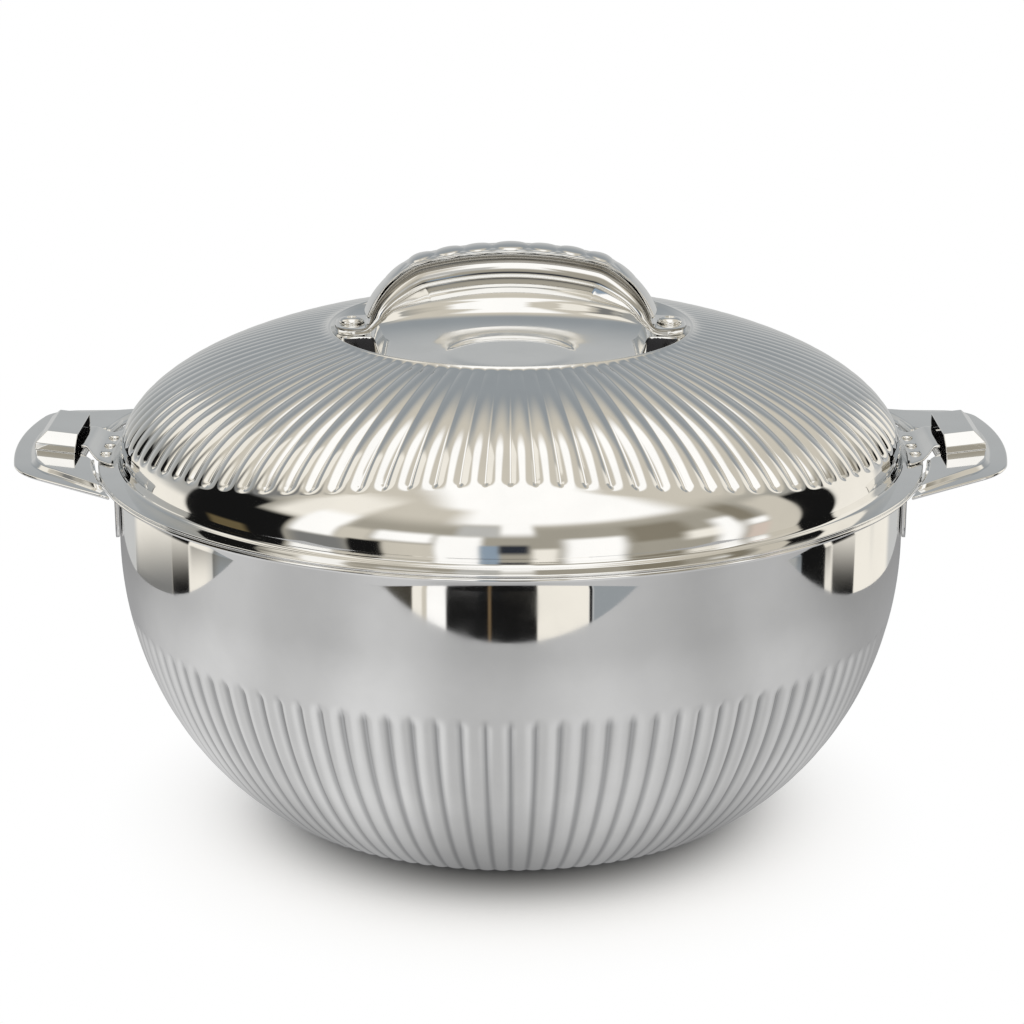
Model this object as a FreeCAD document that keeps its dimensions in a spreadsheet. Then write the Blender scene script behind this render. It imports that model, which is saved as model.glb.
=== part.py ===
import FreeCAD, Part
import math
import os
import Sketcher
from FreeCAD import Vector

# Insulated serving casserole: a fluted double-walled steel pot on a plain ring foot, a fluted
# double-walled lid that lifts straight off, an arched carrying strap in the lid's round dish, and
# two side handles, each with a sliding cap that runs in over a tongue on the lid and locks it.
# X runs through the two side handles, Z is up, and Z = 0 is the surface the pot stands on.

os.makedirs("parts", exist_ok=True)
doc = FreeCAD.newDocument("casserole")
sheet = doc.addObject("Spreadsheet::Sheet", "Dims")
VALUES = {
    # pot
    "bowl_radius": 132.5,
    "wall_gap": 10.7,
    "rim_out": 6.8,
    "rim_height": 126.0,
    "curve_top": 98.0,
    "curve_reach": 97.0,
    "curve_drop": 112.0,
    "flute_count": 108,
    "flute_top": 76.0,
    "flute_fade": 8.0,
    "flute_depth": 1.4,
    "steel": 0.8,
    "bowl_floor": 15.0,
    "bowl_corner": 74.0,
    "curl_radius": 0.9,
    "shell_foot": 1.2,
    "neck_drop": 4.6,
    "neck_out": 3.8,
    "foot_outer": 86.0,
    "foot_width": 6.0,
    "base_recess": 2.2,
    # lid
    "dome_inset": 1.2,
    "dome_reach": 130.7,
    "dome_rise": 48.0,
    "dome_spring": 4.0,
    "lid_flute_count": 100,
    "lid_flute_depth": 1.3,
    "lid_flute_tip": 20.0,
    "lid_flute_fade": 3.5,
    "tab_margin": 2.9,
    "well_depth": 11.0,
    "well_corner": 14.5,
    "well_shoulder": 8.5,
    "well_fall": 3.7,
    "well_ledge": 1.6,
    "well_lip": 0.9,
    "seat_half": 15.0,
    "flange_thick": 1.0,
    "cove_radius": 2.4,
    "plug_gap": 1.5,
    "plug_depth": 7.0,
    "running_gap": 0.3,
    # carrying strap
    "strap_width": 25.0,
    "strap_thick": 2.4,
    "strap_rise": 31.8,
    "strap_half_foot": 53.0,
    "strap_half_grip": 34.5,
    "foot_lift": 5.0,
    "arch_start": 7.0,
    "tab_reach": 9.0,
    "skirt_drop": 8.5,
    "cover_thick": 3.4,
    "cover_inset": 3.6,
    "screw_radius": 2.0,
    "screw_head": 4.6,
    "screw_out": 4.6,
    "skirt_sheet": 1.3,
    "cover_bevel": 1.2,
    # side handles
    "plate_thick": 1.2,
    "plate_margin": 8.0,
    "plate_half_mid": 47.5,
    "plate_half_root": 60.0,
    "plate_gap": 1.3,
    "plate_slope": 0.12,
    "border": 5.6,
    "border_lift": 0.4,
    "platform_rise": 2.4,
    "step_bevel": 1.6,
    "step_back": 0.6,
    "leg_depth": 22.0,
    "leg_angle": 26.0,
    "leg_window": 20.0,
    "leg_short": 8.0,
    # sliding lock and tongue
    "notch_out": 4.4,
    "mouth_gap": 3.1,
    "cap_length": 14.5,
    "cap_half": 18.5,
    "cap_inside": 5.2,
    "cap_sheet": 0.7,
    "cap_slope": 2.8,
    "lock_travel": 6.0,
    "ear_inset": 4.5,
    "tongue_flare": 10.0,
    "tongue_sheet": 1.0,
    "tongue_tip_gap": 0.8,
    "rivet_radius": 1.6,
    "rivet_pitch": 11.0,
    "rivet_in": 3.0,
    "tongue_lift": 0.25,
    "slide_gap": 0.05,
    "keeper_in": 7.5,
    "keeper_length": 3.6,
    "keeper_sheet": 1.0,
    "slot_gap": 0.3,
    "hole_clearance": 0.05,
}
for row, (alias, number) in enumerate(VALUES.items(), start=1):
    sheet.set("A%d" % row, alias)
    sheet.set("B%d" % row, str(number))
    sheet.setAlias("B%d" % row, alias)
doc.recompute()


# Sizes and heights that follow from the sheet's values, each written in them and in those above it.
FOLLOWING = {
    "wall_radius": "bowl_radius + wall_gap",
    "rim_radius": "wall_radius + rim_out",
    "dome_base": "wall_radius - dome_inset",
    "foot_inner": "foot_outer - foot_width",
    "base_height": "shell_foot + base_recess",
    "shell_skin": "flute_depth + steel",
    "foam_skin": "shell_skin + running_gap",
    "ledge_radius": "strap_half_foot - cover_thick - strap_thick - tab_margin",
    "well_radius": "strap_half_foot + tab_reach + tab_margin",
    "well_share": "(well_radius - dome_base + dome_reach) / dome_reach",
    "well_top": "rim_height + dome_spring + dome_rise * sqrt(1 - well_share^2)",
    "strap_seat": "well_top - well_ledge",
    "screw_line": "strap_half_foot + screw_out",
    "flange_top": "rim_height + flange_thick",
    "border_low": "rim_height + border_lift",
    "platform_top": "border_low + plate_thick + platform_rise",
    "plate_edge": "rim_radius + plate_gap",
    "notch_reach": "rim_radius + notch_out",
    "cap_mouth": "notch_reach + mouth_gap",
    "cap_end": "cap_mouth + cap_length",
    "plate_reach": "cap_end + plate_margin",
    "keeper_line": "cap_mouth + keeper_in",
    "keeper_half": "cap_half - ear_inset",
    "tongue_half": "cap_half - ear_inset",
    "tongue_root_half": "tongue_half + tongue_flare",
    "tongue_tip": "cap_mouth - tongue_tip_gap",
    "lean_cos": "1 / sqrt(1 + plate_slope^2)",
    "lean_sin": "plate_slope / sqrt(1 + plate_slope^2)",
    "tongue_rest": "platform_top + slide_gap + tongue_lift + (tongue_tip - plate_edge) * plate_slope",
    "rivet_line": "rim_radius - rivet_in",
}


def spelled(text, names):
    """The expression with every name in it replaced by what names gives for it."""
    words = []
    word = ""
    for letter in text + " ":
        if letter.isalnum() or letter == "_":
            word += letter
        else:
            words.append(names.get(word, word))
            words.append(letter)
            word = ""
    return "".join(words).strip()


CELLS = {alias: "Dims." + alias for alias in VALUES}
NUMBERS = {alias: repr(float(sheet.get(alias))) for alias in VALUES}
for word, rule in FOLLOWING.items():
    CELLS[word] = "(" + spelled(rule, CELLS) + ")"
    NUMBERS[word] = repr(FreeCAD.Units.Quantity(spelled(rule, NUMBERS)).Value)


def bind(obj, prop, text):
    obj.setExpression(prop, spelled(text, CELLS))


def value(text):
    """The number that an expression stands for, worked out from its innermost brackets outwards."""
    text = spelled(text, NUMBERS)
    while "(" in text:
        close = text.index(")")
        start = text.rindex("(", 0, close)
        number = FreeCAD.Units.Quantity(text[start + 1:close]).Value
        before = text[:start]
        if before.endswith("sqrt"):
            number = math.sqrt(number)
            before = before[:-4]
        text = before + repr(number) + text[close + 1:]
    return FreeCAD.Units.Quantity(text).Value


def plane(body, role):
    """The body's own plane of that name: one of its origin's, or the leaning one made below."""
    named = [item for item in body.Group if item.Label == body.Label + "_" + role]
    return named[0] if named else [item for item in body.Origin.OriginFeatures if item.Role == role][0]


def new_body(label):
    body = doc.addObject("PartDesign::Body", label)
    body.Label = label
    return body


def sketch_loop(body, name, role, points, lift="0"):
    """A closed outline of straight edges, and of arcs where a point is given as a middle point.

    points holds (x, y) expressions for a corner and ("arc", x, y) for a point an arc runs through.
    """
    sketch = body.newObject("Sketcher::SketchObject", name)
    sketch.AttachmentSupport = [(plane(body, role), "")]
    sketch.MapMode = "FlatFace"
    bind(sketch, "AttachmentOffset.Base.z", lift)
    corners = [item for item in points if item[0] != "arc"]
    count = len(corners)
    spans = []
    for index, item in enumerate(points):
        if item[0] == "arc":
            spans[-1] = item
        else:
            spans.append(None)
    ends = []
    for index in range(count):
        start = corners[index]
        end = corners[(index + 1) % count]
        a = Vector(value(start[0]), value(start[1]), 0)
        b = Vector(value(end[0]), value(end[1]), 0)
        ends.append((1, 2))
        if spans[index] is None:
            sketch.addGeometry(Part.LineSegment(a, b), False)
            continue
        m = Vector(value(spans[index][1]), value(spans[index][2]), 0)
        if (m - a).cross(b - m).z < 0:
            a, b = b, a
            ends[-1] = (2, 1)
        sketch.addGeometry(Part.Arc(a, m, b), False)
    for index in range(count):
        following = (index + 1) % count
        sketch.addConstraint(Sketcher.Constraint("Coincident", index, ends[index][1],
                                                 following, ends[following][0]))
        for kind, text in (("DistanceX", corners[index][0]), ("DistanceY", corners[index][1])):
            row = sketch.addConstraint(Sketcher.Constraint(kind, -1, 1, index, ends[index][0], value(text)))
            bind(sketch, "Constraints[%d]" % row, text)
    for index in range(count):
        if spans[index] is None:
            continue
        m = Vector(value(spans[index][1]), value(spans[index][2]), 0)
        point = sketch.addGeometry(Part.Point(m), True)
        sketch.addConstraint(Sketcher.Constraint("PointOnObject", point, 1, index))
        for kind, text in (("DistanceX", spans[index][1]), ("DistanceY", spans[index][2])):
            row = sketch.addConstraint(Sketcher.Constraint(kind, -1, 1, point, 1, value(text)))
            bind(sketch, "Constraints[%d]" % row, text)
    return sketch


def leaning(body):
    """A level plane tipped up outwards about the side plate's inner edge, for what stands on it."""
    lean = body.newObject("PartDesign::Plane", body.Label + "_Lean")
    lean.AttachmentSupport = [(plane(body, "XY_Plane"), "")]
    lean.MapMode = "FlatFace"
    lean.AttachmentOffset = FreeCAD.Placement(Vector(0, 0, 0), FreeCAD.Rotation(Vector(0, -1, 0), 1))
    bind(lean, "AttachmentOffset.Rotation.Angle", "atan(plate_slope)")
    bind(lean, "AttachmentOffset.Base.x", "plate_edge * (1 - lean_cos) + border_low * lean_sin")
    bind(lean, "AttachmentOffset.Base.z", "border_low * (1 - lean_cos) - plate_edge * lean_sin")
    doc.recompute()


def turned(label, points):
    """A round piece: an outline in the X-Z half plane turned about Z."""
    body = new_body(label)
    sketch = sketch_loop(body, label + "_profile", "XZ_Plane", points)
    turn = body.newObject("PartDesign::Revolution", label + "_turn")
    turn.Profile = sketch
    turn.ReferenceAxis = (sketch, ["V_Axis"])
    turn.Angle = 360
    return body


def padded(body, name, sketch, length, middle=False, cut=False):
    """A pad, or a pocket where cut is set, checked to have changed the body's volume."""
    before = body.Shape.Volume if body.Tip else 0.0
    pad = body.newObject("PartDesign::Pocket" if cut else "PartDesign::Pad", name)
    pad.Profile = sketch
    bind(pad, "Length", length)
    if middle:
        pad.Midplane = True
    elif cut:
        pad.Reversed = True
    doc.recompute()
    if abs(body.Shape.Volume - before) < 1e-3:
        raise RuntimeError(name + " changed nothing")
    return pad


def placed(body, side, x="0", y="0", z="0"):
    """Set a body on the right (side 1) or turned half round Z onto the left (side -1)."""
    if side < 0:
        body.Placement = FreeCAD.Placement(Vector(0, 0, 0), FreeCAD.Rotation(Vector(0, 0, 1), 180))
    bind(body, "Placement.Base.x", "%d * (%s)" % (side, x))
    bind(body, "Placement.Base.y", "%d * (%s)" % (side, y))
    bind(body, "Placement.Base.z", z)


# ---- The pot: an outer shell pressed with flutes, a deep-drawn bowl, foam between them, a base ----

def wall_text(height):
    return "wall_radius - curve_reach * (1 - sqrt(1 - ((curve_top - (%s)) / curve_drop)^2))" % height


def wall(height):
    if height >= value("curve_top"):
        return value("wall_radius")
    return value(wall_text("%.6f" % height))


def star(height, radius, depth, count):
    """One level of the flutes: a shallow V between neighbouring lobes, each lobe with a flat crown."""
    points = []
    for index in range(count):
        for share, sink in ((0.0, depth), (0.27, 0.0), (0.73, 0.0)):
            angle = 2 * math.pi * (index + share) / count
            reach = radius - sink
            points.append(Vector(reach * math.cos(angle), reach * math.sin(angle), height))
    return points


def fluted_solid(rings, count):
    """A solid between flat ends from (height, radius, depth) rings; a V keeps one depth to radius."""
    levels = [star(height, radius, depth, count) for height, radius, depth in rings]
    faces = []
    size = len(levels[0])
    for low, high in zip(levels, levels[1:]):
        for index in range(size):
            following = (index + 1) % size
            corners = [low[index], low[following], high[following], high[index]]
            across = (corners[2] - corners[0]).cross(corners[3] - corners[1]).normalize()
            if abs(across.dot(corners[1] - corners[0])) < 1e-5:
                faces.append(Part.Face(Part.makePolygon(corners + corners[:1])))
            else:
                for trio in ((0, 1, 2), (0, 2, 3)):
                    ends = [corners[i] for i in trio]
                    faces.append(Part.Face(Part.makePolygon(ends + ends[:1])))
    for level in (levels[0], levels[-1]):
        faces.append(Part.Face(Part.makePolygon(level + level[:1])))
    shell = Part.makeShell(faces)
    shell.sewShape()
    solid = Part.makeSolid(shell)
    if solid.Volume < 0:
        solid.reverse()
    return solid


def turned_solid(points):
    """A solid of revolution from (radius, height) pairs; a triple is a point an arc runs through."""
    edges = []
    corners = [item for item in points if len(item) == 2]
    spans = []
    for item in points:
        if len(item) == 3:
            spans[-1] = Vector(item[0], 0, item[1])
        else:
            spans.append(None)
    for index, item in enumerate(corners):
        following = corners[(index + 1) % len(corners)]
        a = Vector(item[0], 0, item[1])
        b = Vector(following[0], 0, following[1])
        if spans[index] is None:
            edges.append(Part.makeLine(a, b))
        else:
            edges.append(Part.Arc(a, spans[index], b).toShape())
    face = Part.Face(Part.Wire(edges))
    return face.revolve(Vector(0, 0, 0), Vector(0, 0, 1), 360)


def solid_of(shape):
    return shape.Solids[0] if len(shape.Solids) == 1 else shape


INNER_SHARES = (0.0, 0.2, 0.55)


def shell_inside():
    """The smooth inner side of the fluted shell, as (radius, height) pairs from the base upwards."""
    skin = value("shell_skin")
    low = value("base_height")
    pairs = []
    for share in INNER_SHARES:
        height = low + share * (value("curve_top") - low)
        pairs.append((wall(height) - skin, height))
    pairs.append((value("wall_radius") - skin, value("curve_top")))
    return pairs


def make_outer_shell():
    foot = value("shell_foot")
    top = value("flute_top")
    full = top - value("flute_fade")
    bands = 4
    levels = [foot + (full - foot) * (index / bands) ** 1.25 for index in range(bands + 1)]
    share = value("flute_depth") / value("wall_radius")
    rings = [(height, wall(height), share * wall(height)) for height in levels]
    rings.append((top, wall(top), 0.0))
    fluted = fluted_solid(rings, round(value("flute_count")))
    under = value("rim_height") - value("steel")
    lip = value("rim_radius") - 2 * value("curl_radius")
    middle = 0.5 * (top + value("curve_top"))
    smooth = turned_solid([(0, top), (wall(top), top), (wall(middle), middle),
                           (value("wall_radius"), value("curve_top")),
                           (value("wall_radius"), under - value("steel + neck_drop")),
                           (value("wall_radius + neck_out"), under - value("steel")),
                           (lip, under - value("steel")), (lip, under), (0, under)])
    inside = shell_inside()
    hollow = [(0, foot - 1), (value("foot_outer") + value("running_gap"), foot - 1),
              (value("foot_outer") + value("running_gap"), inside[0][1])]
    hollow += inside
    hollow += [(inside[-1][0], under + 1), (0, under + 1)]
    shape = fluted.fuse(smooth).cut(turned_solid(hollow))
    shell = doc.addObject("Part::Feature", "outer_shell")
    shell.Shape = solid_of(shape)
    shell.Label = "outer_shell"
    return shell


make_outer_shell()
BEND = [(round(math.sin(math.radians(step)), 4), round(math.cos(math.radians(step)), 4))
        for step in (0, 30, 60, 90)]
turned("inner_bowl", [("0", "bowl_floor")] + [
    ("bowl_radius - bowl_corner * (1 - %s)" % out, "bowl_floor + bowl_corner * (1 - %s)" % down)
    for out, down in BEND] + [
    ("bowl_radius", "rim_height"),
    ("rim_radius - 0.6 * curl_radius", "rim_height"),
    ("rim_radius", "rim_height - 0.6 * curl_radius"),
    ("rim_radius", "rim_height - 1.4 * curl_radius"),
    ("rim_radius - 0.6 * curl_radius", "rim_height - 2 * curl_radius"),
    ("rim_radius - 1.7 * curl_radius", "rim_height - 2 * curl_radius"),
    ("rim_radius - 1.7 * curl_radius", "rim_height - steel"),
    ("bowl_radius + steel", "rim_height - steel"),
] + [("bowl_radius - bowl_corner + %s * (bowl_corner + steel)" % out,
      "bowl_floor + bowl_corner - %s * (bowl_corner + steel)" % down) for out, down in BEND[::-1]] + [
    ("0", "bowl_floor - steel"),
])
FOAM = []
for share in reversed(INNER_SHARES):
    height = "base_height + %s * (curve_top - base_height)" % share
    if share == 0.0:
        height = "base_height + steel + running_gap"
    FOAM.append((wall_text(height) + " - foam_skin" + (" - 3 * steel" if share == 0.0 else ""), height))
CORNER = "(bowl_corner + steel + running_gap)"
turned("body_insulation", [
    ("bowl_radius + steel + running_gap", "rim_height - 3 * steel"),
    ("wall_radius - foam_skin", "rim_height - 3 * steel"),
    ("wall_radius - foam_skin", "curve_top")] + FOAM + [
    ("0", "base_height + steel + running_gap"),
    ("0", "bowl_floor - steel - running_gap"),
    ("bowl_radius - bowl_corner + 0.4142 * " + CORNER, "bowl_floor - steel - running_gap"),
    ("bowl_radius + steel + running_gap", "bowl_floor + bowl_corner - 0.4142 * " + CORNER),
])
turned("base_cover", [
    ("0", "base_height"),
    ("foot_outer", "base_height"),
    ("foot_outer", "base_height + steel"),
    ("0", "base_height + steel"),
])
turned("foot_ring", [
    ("foot_inner", "0"),
    ("foot_outer", "0"),
    ("foot_outer", "base_height"),
    ("foot_inner", "base_height"),
])

# ---- The lid: a fluted dome with a round dish in its crown, standing in a flange ----


def dome(angle):
    """Radius and height of the smooth dome where the ellipse's angle above its widest ring is given."""
    turn = math.radians(angle)
    centre = value("dome_base") - value("dome_reach")
    return (centre + value("dome_reach") * math.cos(turn),
            value("rim_height") + value("dome_spring") + value("dome_rise") * math.sin(turn))


WELL_ANGLE = math.degrees(math.acos((value("well_radius") - value("dome_base")) / value("dome_reach") + 1))


def seat_block(side, inset):
    """The raised seat in the dish under one foot of the strap, at an inset from its top and sides."""
    start = value("ledge_radius") + inset
    end = value("well_radius - 2 * well_lip") - inset
    low = value("well_top - well_depth - 2 * steel")
    half = value("seat_half") - inset
    corner = Vector(start if side > 0 else -end, -half, low)
    return Part.makeBox(end - start, 2 * half, value("strap_seat") - inset - low, corner)


def make_lid_outer_shell():
    tip = value("lid_flute_tip")
    count = round(value("lid_flute_count"))
    bands = 4
    full = tip + value("lid_flute_fade")
    share = value("lid_flute_depth") / value("dome_base")
    rings = [(dome(tip)[1], dome(tip)[0], 0.0)]
    for index in range(bands + 1):
        radius, height = dome(full + (WELL_ANGLE - full) * index / bands)
        rings.append((height, radius, share * radius))
    fluted = fluted_solid(rings, count)
    base = value("rim_height")
    top = base + value("flange_thick")
    edge = value("rim_radius")
    cove = value("cove_radius")
    smooth = turned_solid([
        (0, base), (edge, base), (edge, top), (value("dome_base") + cove, top),
        (value("dome_base"), top + cove), (value("dome_base"), base + value("dome_spring")),
        dome(0.4 * tip), dome(0.75 * tip), dome(tip), (0, dome(tip)[1])])
    skin = value("lid_flute_depth") + value("steel")
    ring = value("bowl_radius - plug_gap - steel")
    hollow = [(0, base - 1), (ring, base - 1), (ring, base),
              (value("dome_base") - skin, base + 2 * value("steel")),
              (value("dome_base") - skin, base + value("dome_spring"))]
    for share in (0.8, 1.8):
        radius, height = dome(tip * share)
        hollow.append((radius - skin, height - skin))
    sheet_line = [(value("well_radius"), value("well_top - 3 * steel")),
                  (value("well_radius - well_shoulder"), value("well_top - well_fall - 2 * steel")),
                  (value("well_radius - well_corner"), value("well_top - well_depth - steel")),
                  (0, value("well_top - well_depth - steel"))]
    well = turned_solid([
        (0, value("well_top - well_depth")),
        (value("well_radius - well_corner"), value("well_top - well_depth")),
        (value("well_radius - well_shoulder"), value("well_top - well_fall")),
        (value("well_radius - well_lip"), value("strap_seat")),
        (value("well_radius - well_lip"), value("well_top + 1")), (0, value("well_top + 1"))])
    shape = fluted.fuse(smooth)
    for side in (1, -1):
        well = well.cut(seat_block(side, 0.0))
    shape = shape.cut(well).cut(turned_solid(hollow + sheet_line))
    for side in (1, -1):
        shape = shape.cut(seat_block(side, value("steel")))
    for side in (1, -1):
        for index in (-1, 0, 1):
            hole = Part.makeCylinder(value("rivet_radius") + value("hole_clearance"), 10, Vector(
                side * value("rivet_line"), index * value("rivet_pitch"), base - 5))
            shape = shape.cut(hole)
        shape = shape.cut(Part.makeCylinder(value("screw_radius") + value("hole_clearance"), 12, Vector(
            side * value("screw_line"), 0, value("strap_seat - 6"))))
    lid = doc.addObject("Part::Feature", "lid_outer_shell")
    lid.Shape = solid_of(shape)
    lid.Label = "lid_outer_shell"
    return lid


make_lid_outer_shell()

turned("lid_inner_shell", [
    ("0", "rim_height - plug_depth"),
    ("bowl_radius - plug_gap - 4", "rim_height - plug_depth"),
    ("bowl_radius - plug_gap", "rim_height - plug_depth + 4"),
    ("bowl_radius - plug_gap", "rim_height - running_gap"),
    ("bowl_radius - plug_gap - steel", "rim_height - running_gap"),
    ("bowl_radius - plug_gap - steel", "rim_height - plug_depth + 4 + steel"),
    ("bowl_radius - plug_gap - 4 - 0.5 * steel", "rim_height - plug_depth + steel"),
    ("0", "rim_height - plug_depth + steel"),
])
FOAM_TOP = "rim_height + dome_spring + dome_rise - well_depth"
turned("lid_insulation", [
    ("0", "rim_height - plug_depth + steel + running_gap"),
    ("bowl_radius - plug_gap - 6 - steel", "rim_height - plug_depth + steel + running_gap"),
    ("bowl_radius - plug_gap - steel - running_gap", "rim_height - plug_depth + 6"),
    ("bowl_radius - plug_gap - steel - running_gap", "rim_height + 2 * flange_thick"),
    ("dome_base - 16", "rim_height + 0.42 * dome_rise"),
    ("dome_base - 44", "rim_height + 0.68 * dome_rise"),
    ("0", "rim_height + 0.68 * dome_rise"),
])

# ---- The carrying strap: a bent channel standing on the ledge of the round dish, with its cover ----

def mirrored(path):
    """The same path on the left, in the same order."""
    return [("arc", "-(" + item[1] + ")", item[2]) if item[0] == "arc"
            else ("-(" + item[0] + ")", item[1]) for item in path]


def arch(inset):
    """The side view of the strap at an inset from its outermost line, from left to right."""
    side = [("strap_half_foot - (%s)" % inset, "strap_seat + arch_start"),
            ("arc", "strap_half_foot - 5.6 - 0.8 * (%s)" % inset, "strap_seat + 17 - 0.6 * (%s)" % inset),
            ("strap_half_grip - 0.4 * (%s)" % inset, "strap_seat + strap_rise - 4.5 - 0.9 * (%s)" % inset)]
    crown = ("arc", "0", "strap_seat + strap_rise - (%s)" % inset)
    return mirrored(side) + [crown] + side[::-1]


def standing(inset):
    """The arch with its two ends carried straight down towards the foot tabs."""
    end = ("strap_half_foot - (%s)" % inset, "strap_seat + foot_lift")
    return mirrored([end]) + arch(inset) + [end]


def make_strap():
    body = new_body("lid_handle_strap")
    outer = standing("cover_thick")
    inner = standing("cover_thick + strap_thick")
    tab = [("strap_half_foot - cover_thick + 0.5 * strap_thick", "strap_seat + strap_thick"),
           ("strap_half_foot + tab_reach", "strap_seat + strap_thick"),
           ("strap_half_foot + tab_reach", "strap_seat"),
           ("strap_half_foot - cover_thick - strap_thick", "strap_seat")]
    band = sketch_loop(body, "strap_band", "XZ_Plane", outer + tab + inner[::-1] + mirrored(tab)[::-1])
    padded(body, "strap_bend", band, "strap_width", middle=True)
    lower = [("strap_half_foot - 4.2", "strap_seat + 7"),
             ("arc", "strap_half_foot - 9.2", "strap_seat + 12.4"),
             ("strap_half_grip", "strap_seat + strap_rise - skirt_drop - 7")]
    crown = ("arc", "0", "strap_seat + strap_rise - skirt_drop - 5")
    under = mirrored(lower) + [crown] + lower[::-1]
    top = arch("cover_thick + 0.5 * strap_thick")
    sides = sketch_loop(body, "strap_sides", "XZ_Plane", top + under[::-1])
    padded(body, "strap_skirts", sides, "strap_width", middle=True)
    deeper = [(item[0], item[1] + " - 6") if item[0] != "arc" else (item[0], item[1], item[2] + " - 6")
              for item in under]
    inside = sketch_loop(body, "strap_inside", "XZ_Plane", arch("cover_thick + strap_thick") + deeper[::-1])
    padded(body, "strap_hollow", inside, "strap_width - 2 * skirt_sheet", middle=True, cut=True)
    for side in (1, -1):
        hole = body.newObject("Sketcher::SketchObject", "strap_hole")
        hole.AttachmentSupport = [(plane(body, "XY_Plane"), "")]
        hole.MapMode = "FlatFace"
        bind(hole, "AttachmentOffset.Base.z", "strap_seat")
        middle = Vector(side * value("screw_line"), 0, 0)
        hole.addGeometry(Part.Circle(middle, Vector(0, 0, 1), value("screw_radius")))
        hole.addConstraint(Sketcher.Constraint("DistanceX", -1, 1, 0, 3, side * value("screw_line")))
        bind(hole, "Constraints[0]", "%d * screw_line" % side)
        hole.addConstraint(Sketcher.Constraint("PointOnObject", 0, 3, -1))
        hole.addConstraint(Sketcher.Constraint("Radius", 0, value("screw_radius")))
        bind(hole, "Constraints[2]", "screw_radius + hole_clearance")
        padded(body, "strap_screw_hole", hole, "strap_thick", cut=True)


def make_cover():
    body = new_body("lid_handle_cover")
    ring = sketch_loop(body, "cover_band", "XZ_Plane", arch("cover_bevel") + arch("cover_thick")[::-1])
    padded(body, "cover_bend", ring, "strap_width - 2 * cover_inset", middle=True)
    crown = sketch_loop(body, "cover_crown_band", "XZ_Plane", arch("0") + arch("cover_thick")[::-1])
    padded(body, "cover_crown", crown, "strap_width - 2 * cover_inset - 2 * cover_bevel", middle=True)


make_strap()
make_cover()


def make_screw(side, name):
    body = turned(name + "_strap_screw", [
        ("0", "strap_seat - 6"),
        ("screw_radius", "strap_seat - 6"),
        ("screw_radius", "strap_seat + strap_thick"),
        ("screw_head", "strap_seat + strap_thick"),
        ("0.6 * screw_head", "strap_seat + strap_thick + 2"),
        ("0", "strap_seat + strap_thick + 2"),
    ])
    placed(body, side, x="screw_line")
    nut = turned(name + "_strap_nut", [
        ("screw_radius + hole_clearance", "strap_seat - steel - 3"),
        ("screw_head - 0.6", "strap_seat - steel - 3"),
        ("screw_head - 0.6", "strap_seat - steel - 0.05"),
        ("screw_radius + hole_clearance", "strap_seat - steel - 0.05"),
    ])
    placed(nut, side, x="screw_line")


make_screw(1, "right")
make_screw(-1, "left")

# ---- The side handles: a bordered plate with a raised platform, a notch, slots and welded legs ----

def plate_outline(inset, inner):
    """The plate's outline at an inset from its free edges; its inner edge is an arc round the rim."""
    root = "sqrt((%s)^2 - (plate_half_root - %s)^2)" % (inner, inset)
    near = [(root, "plate_half_root - %s" % inset),
            ("plate_reach - 15 - 0.6 * %s" % inset, "plate_half_mid - %s" % inset),
            ("arc", "plate_reach - 7 - 0.85 * %s" % inset, "plate_half_mid - 6.4 - 0.8 * %s" % inset),
            ("plate_reach - 3 - %s" % inset, "plate_half_mid - 16 - 0.6 * %s" % inset)]
    far = [("arc", item[1], "-(" + item[2] + ")") if item[0] == "arc"
           else (item[0], "-(" + item[1] + ")") for item in near]
    return far + [("arc", "plate_reach - %s" % inset, "0")] + near[::-1] + [("arc", inner, "0")]


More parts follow.
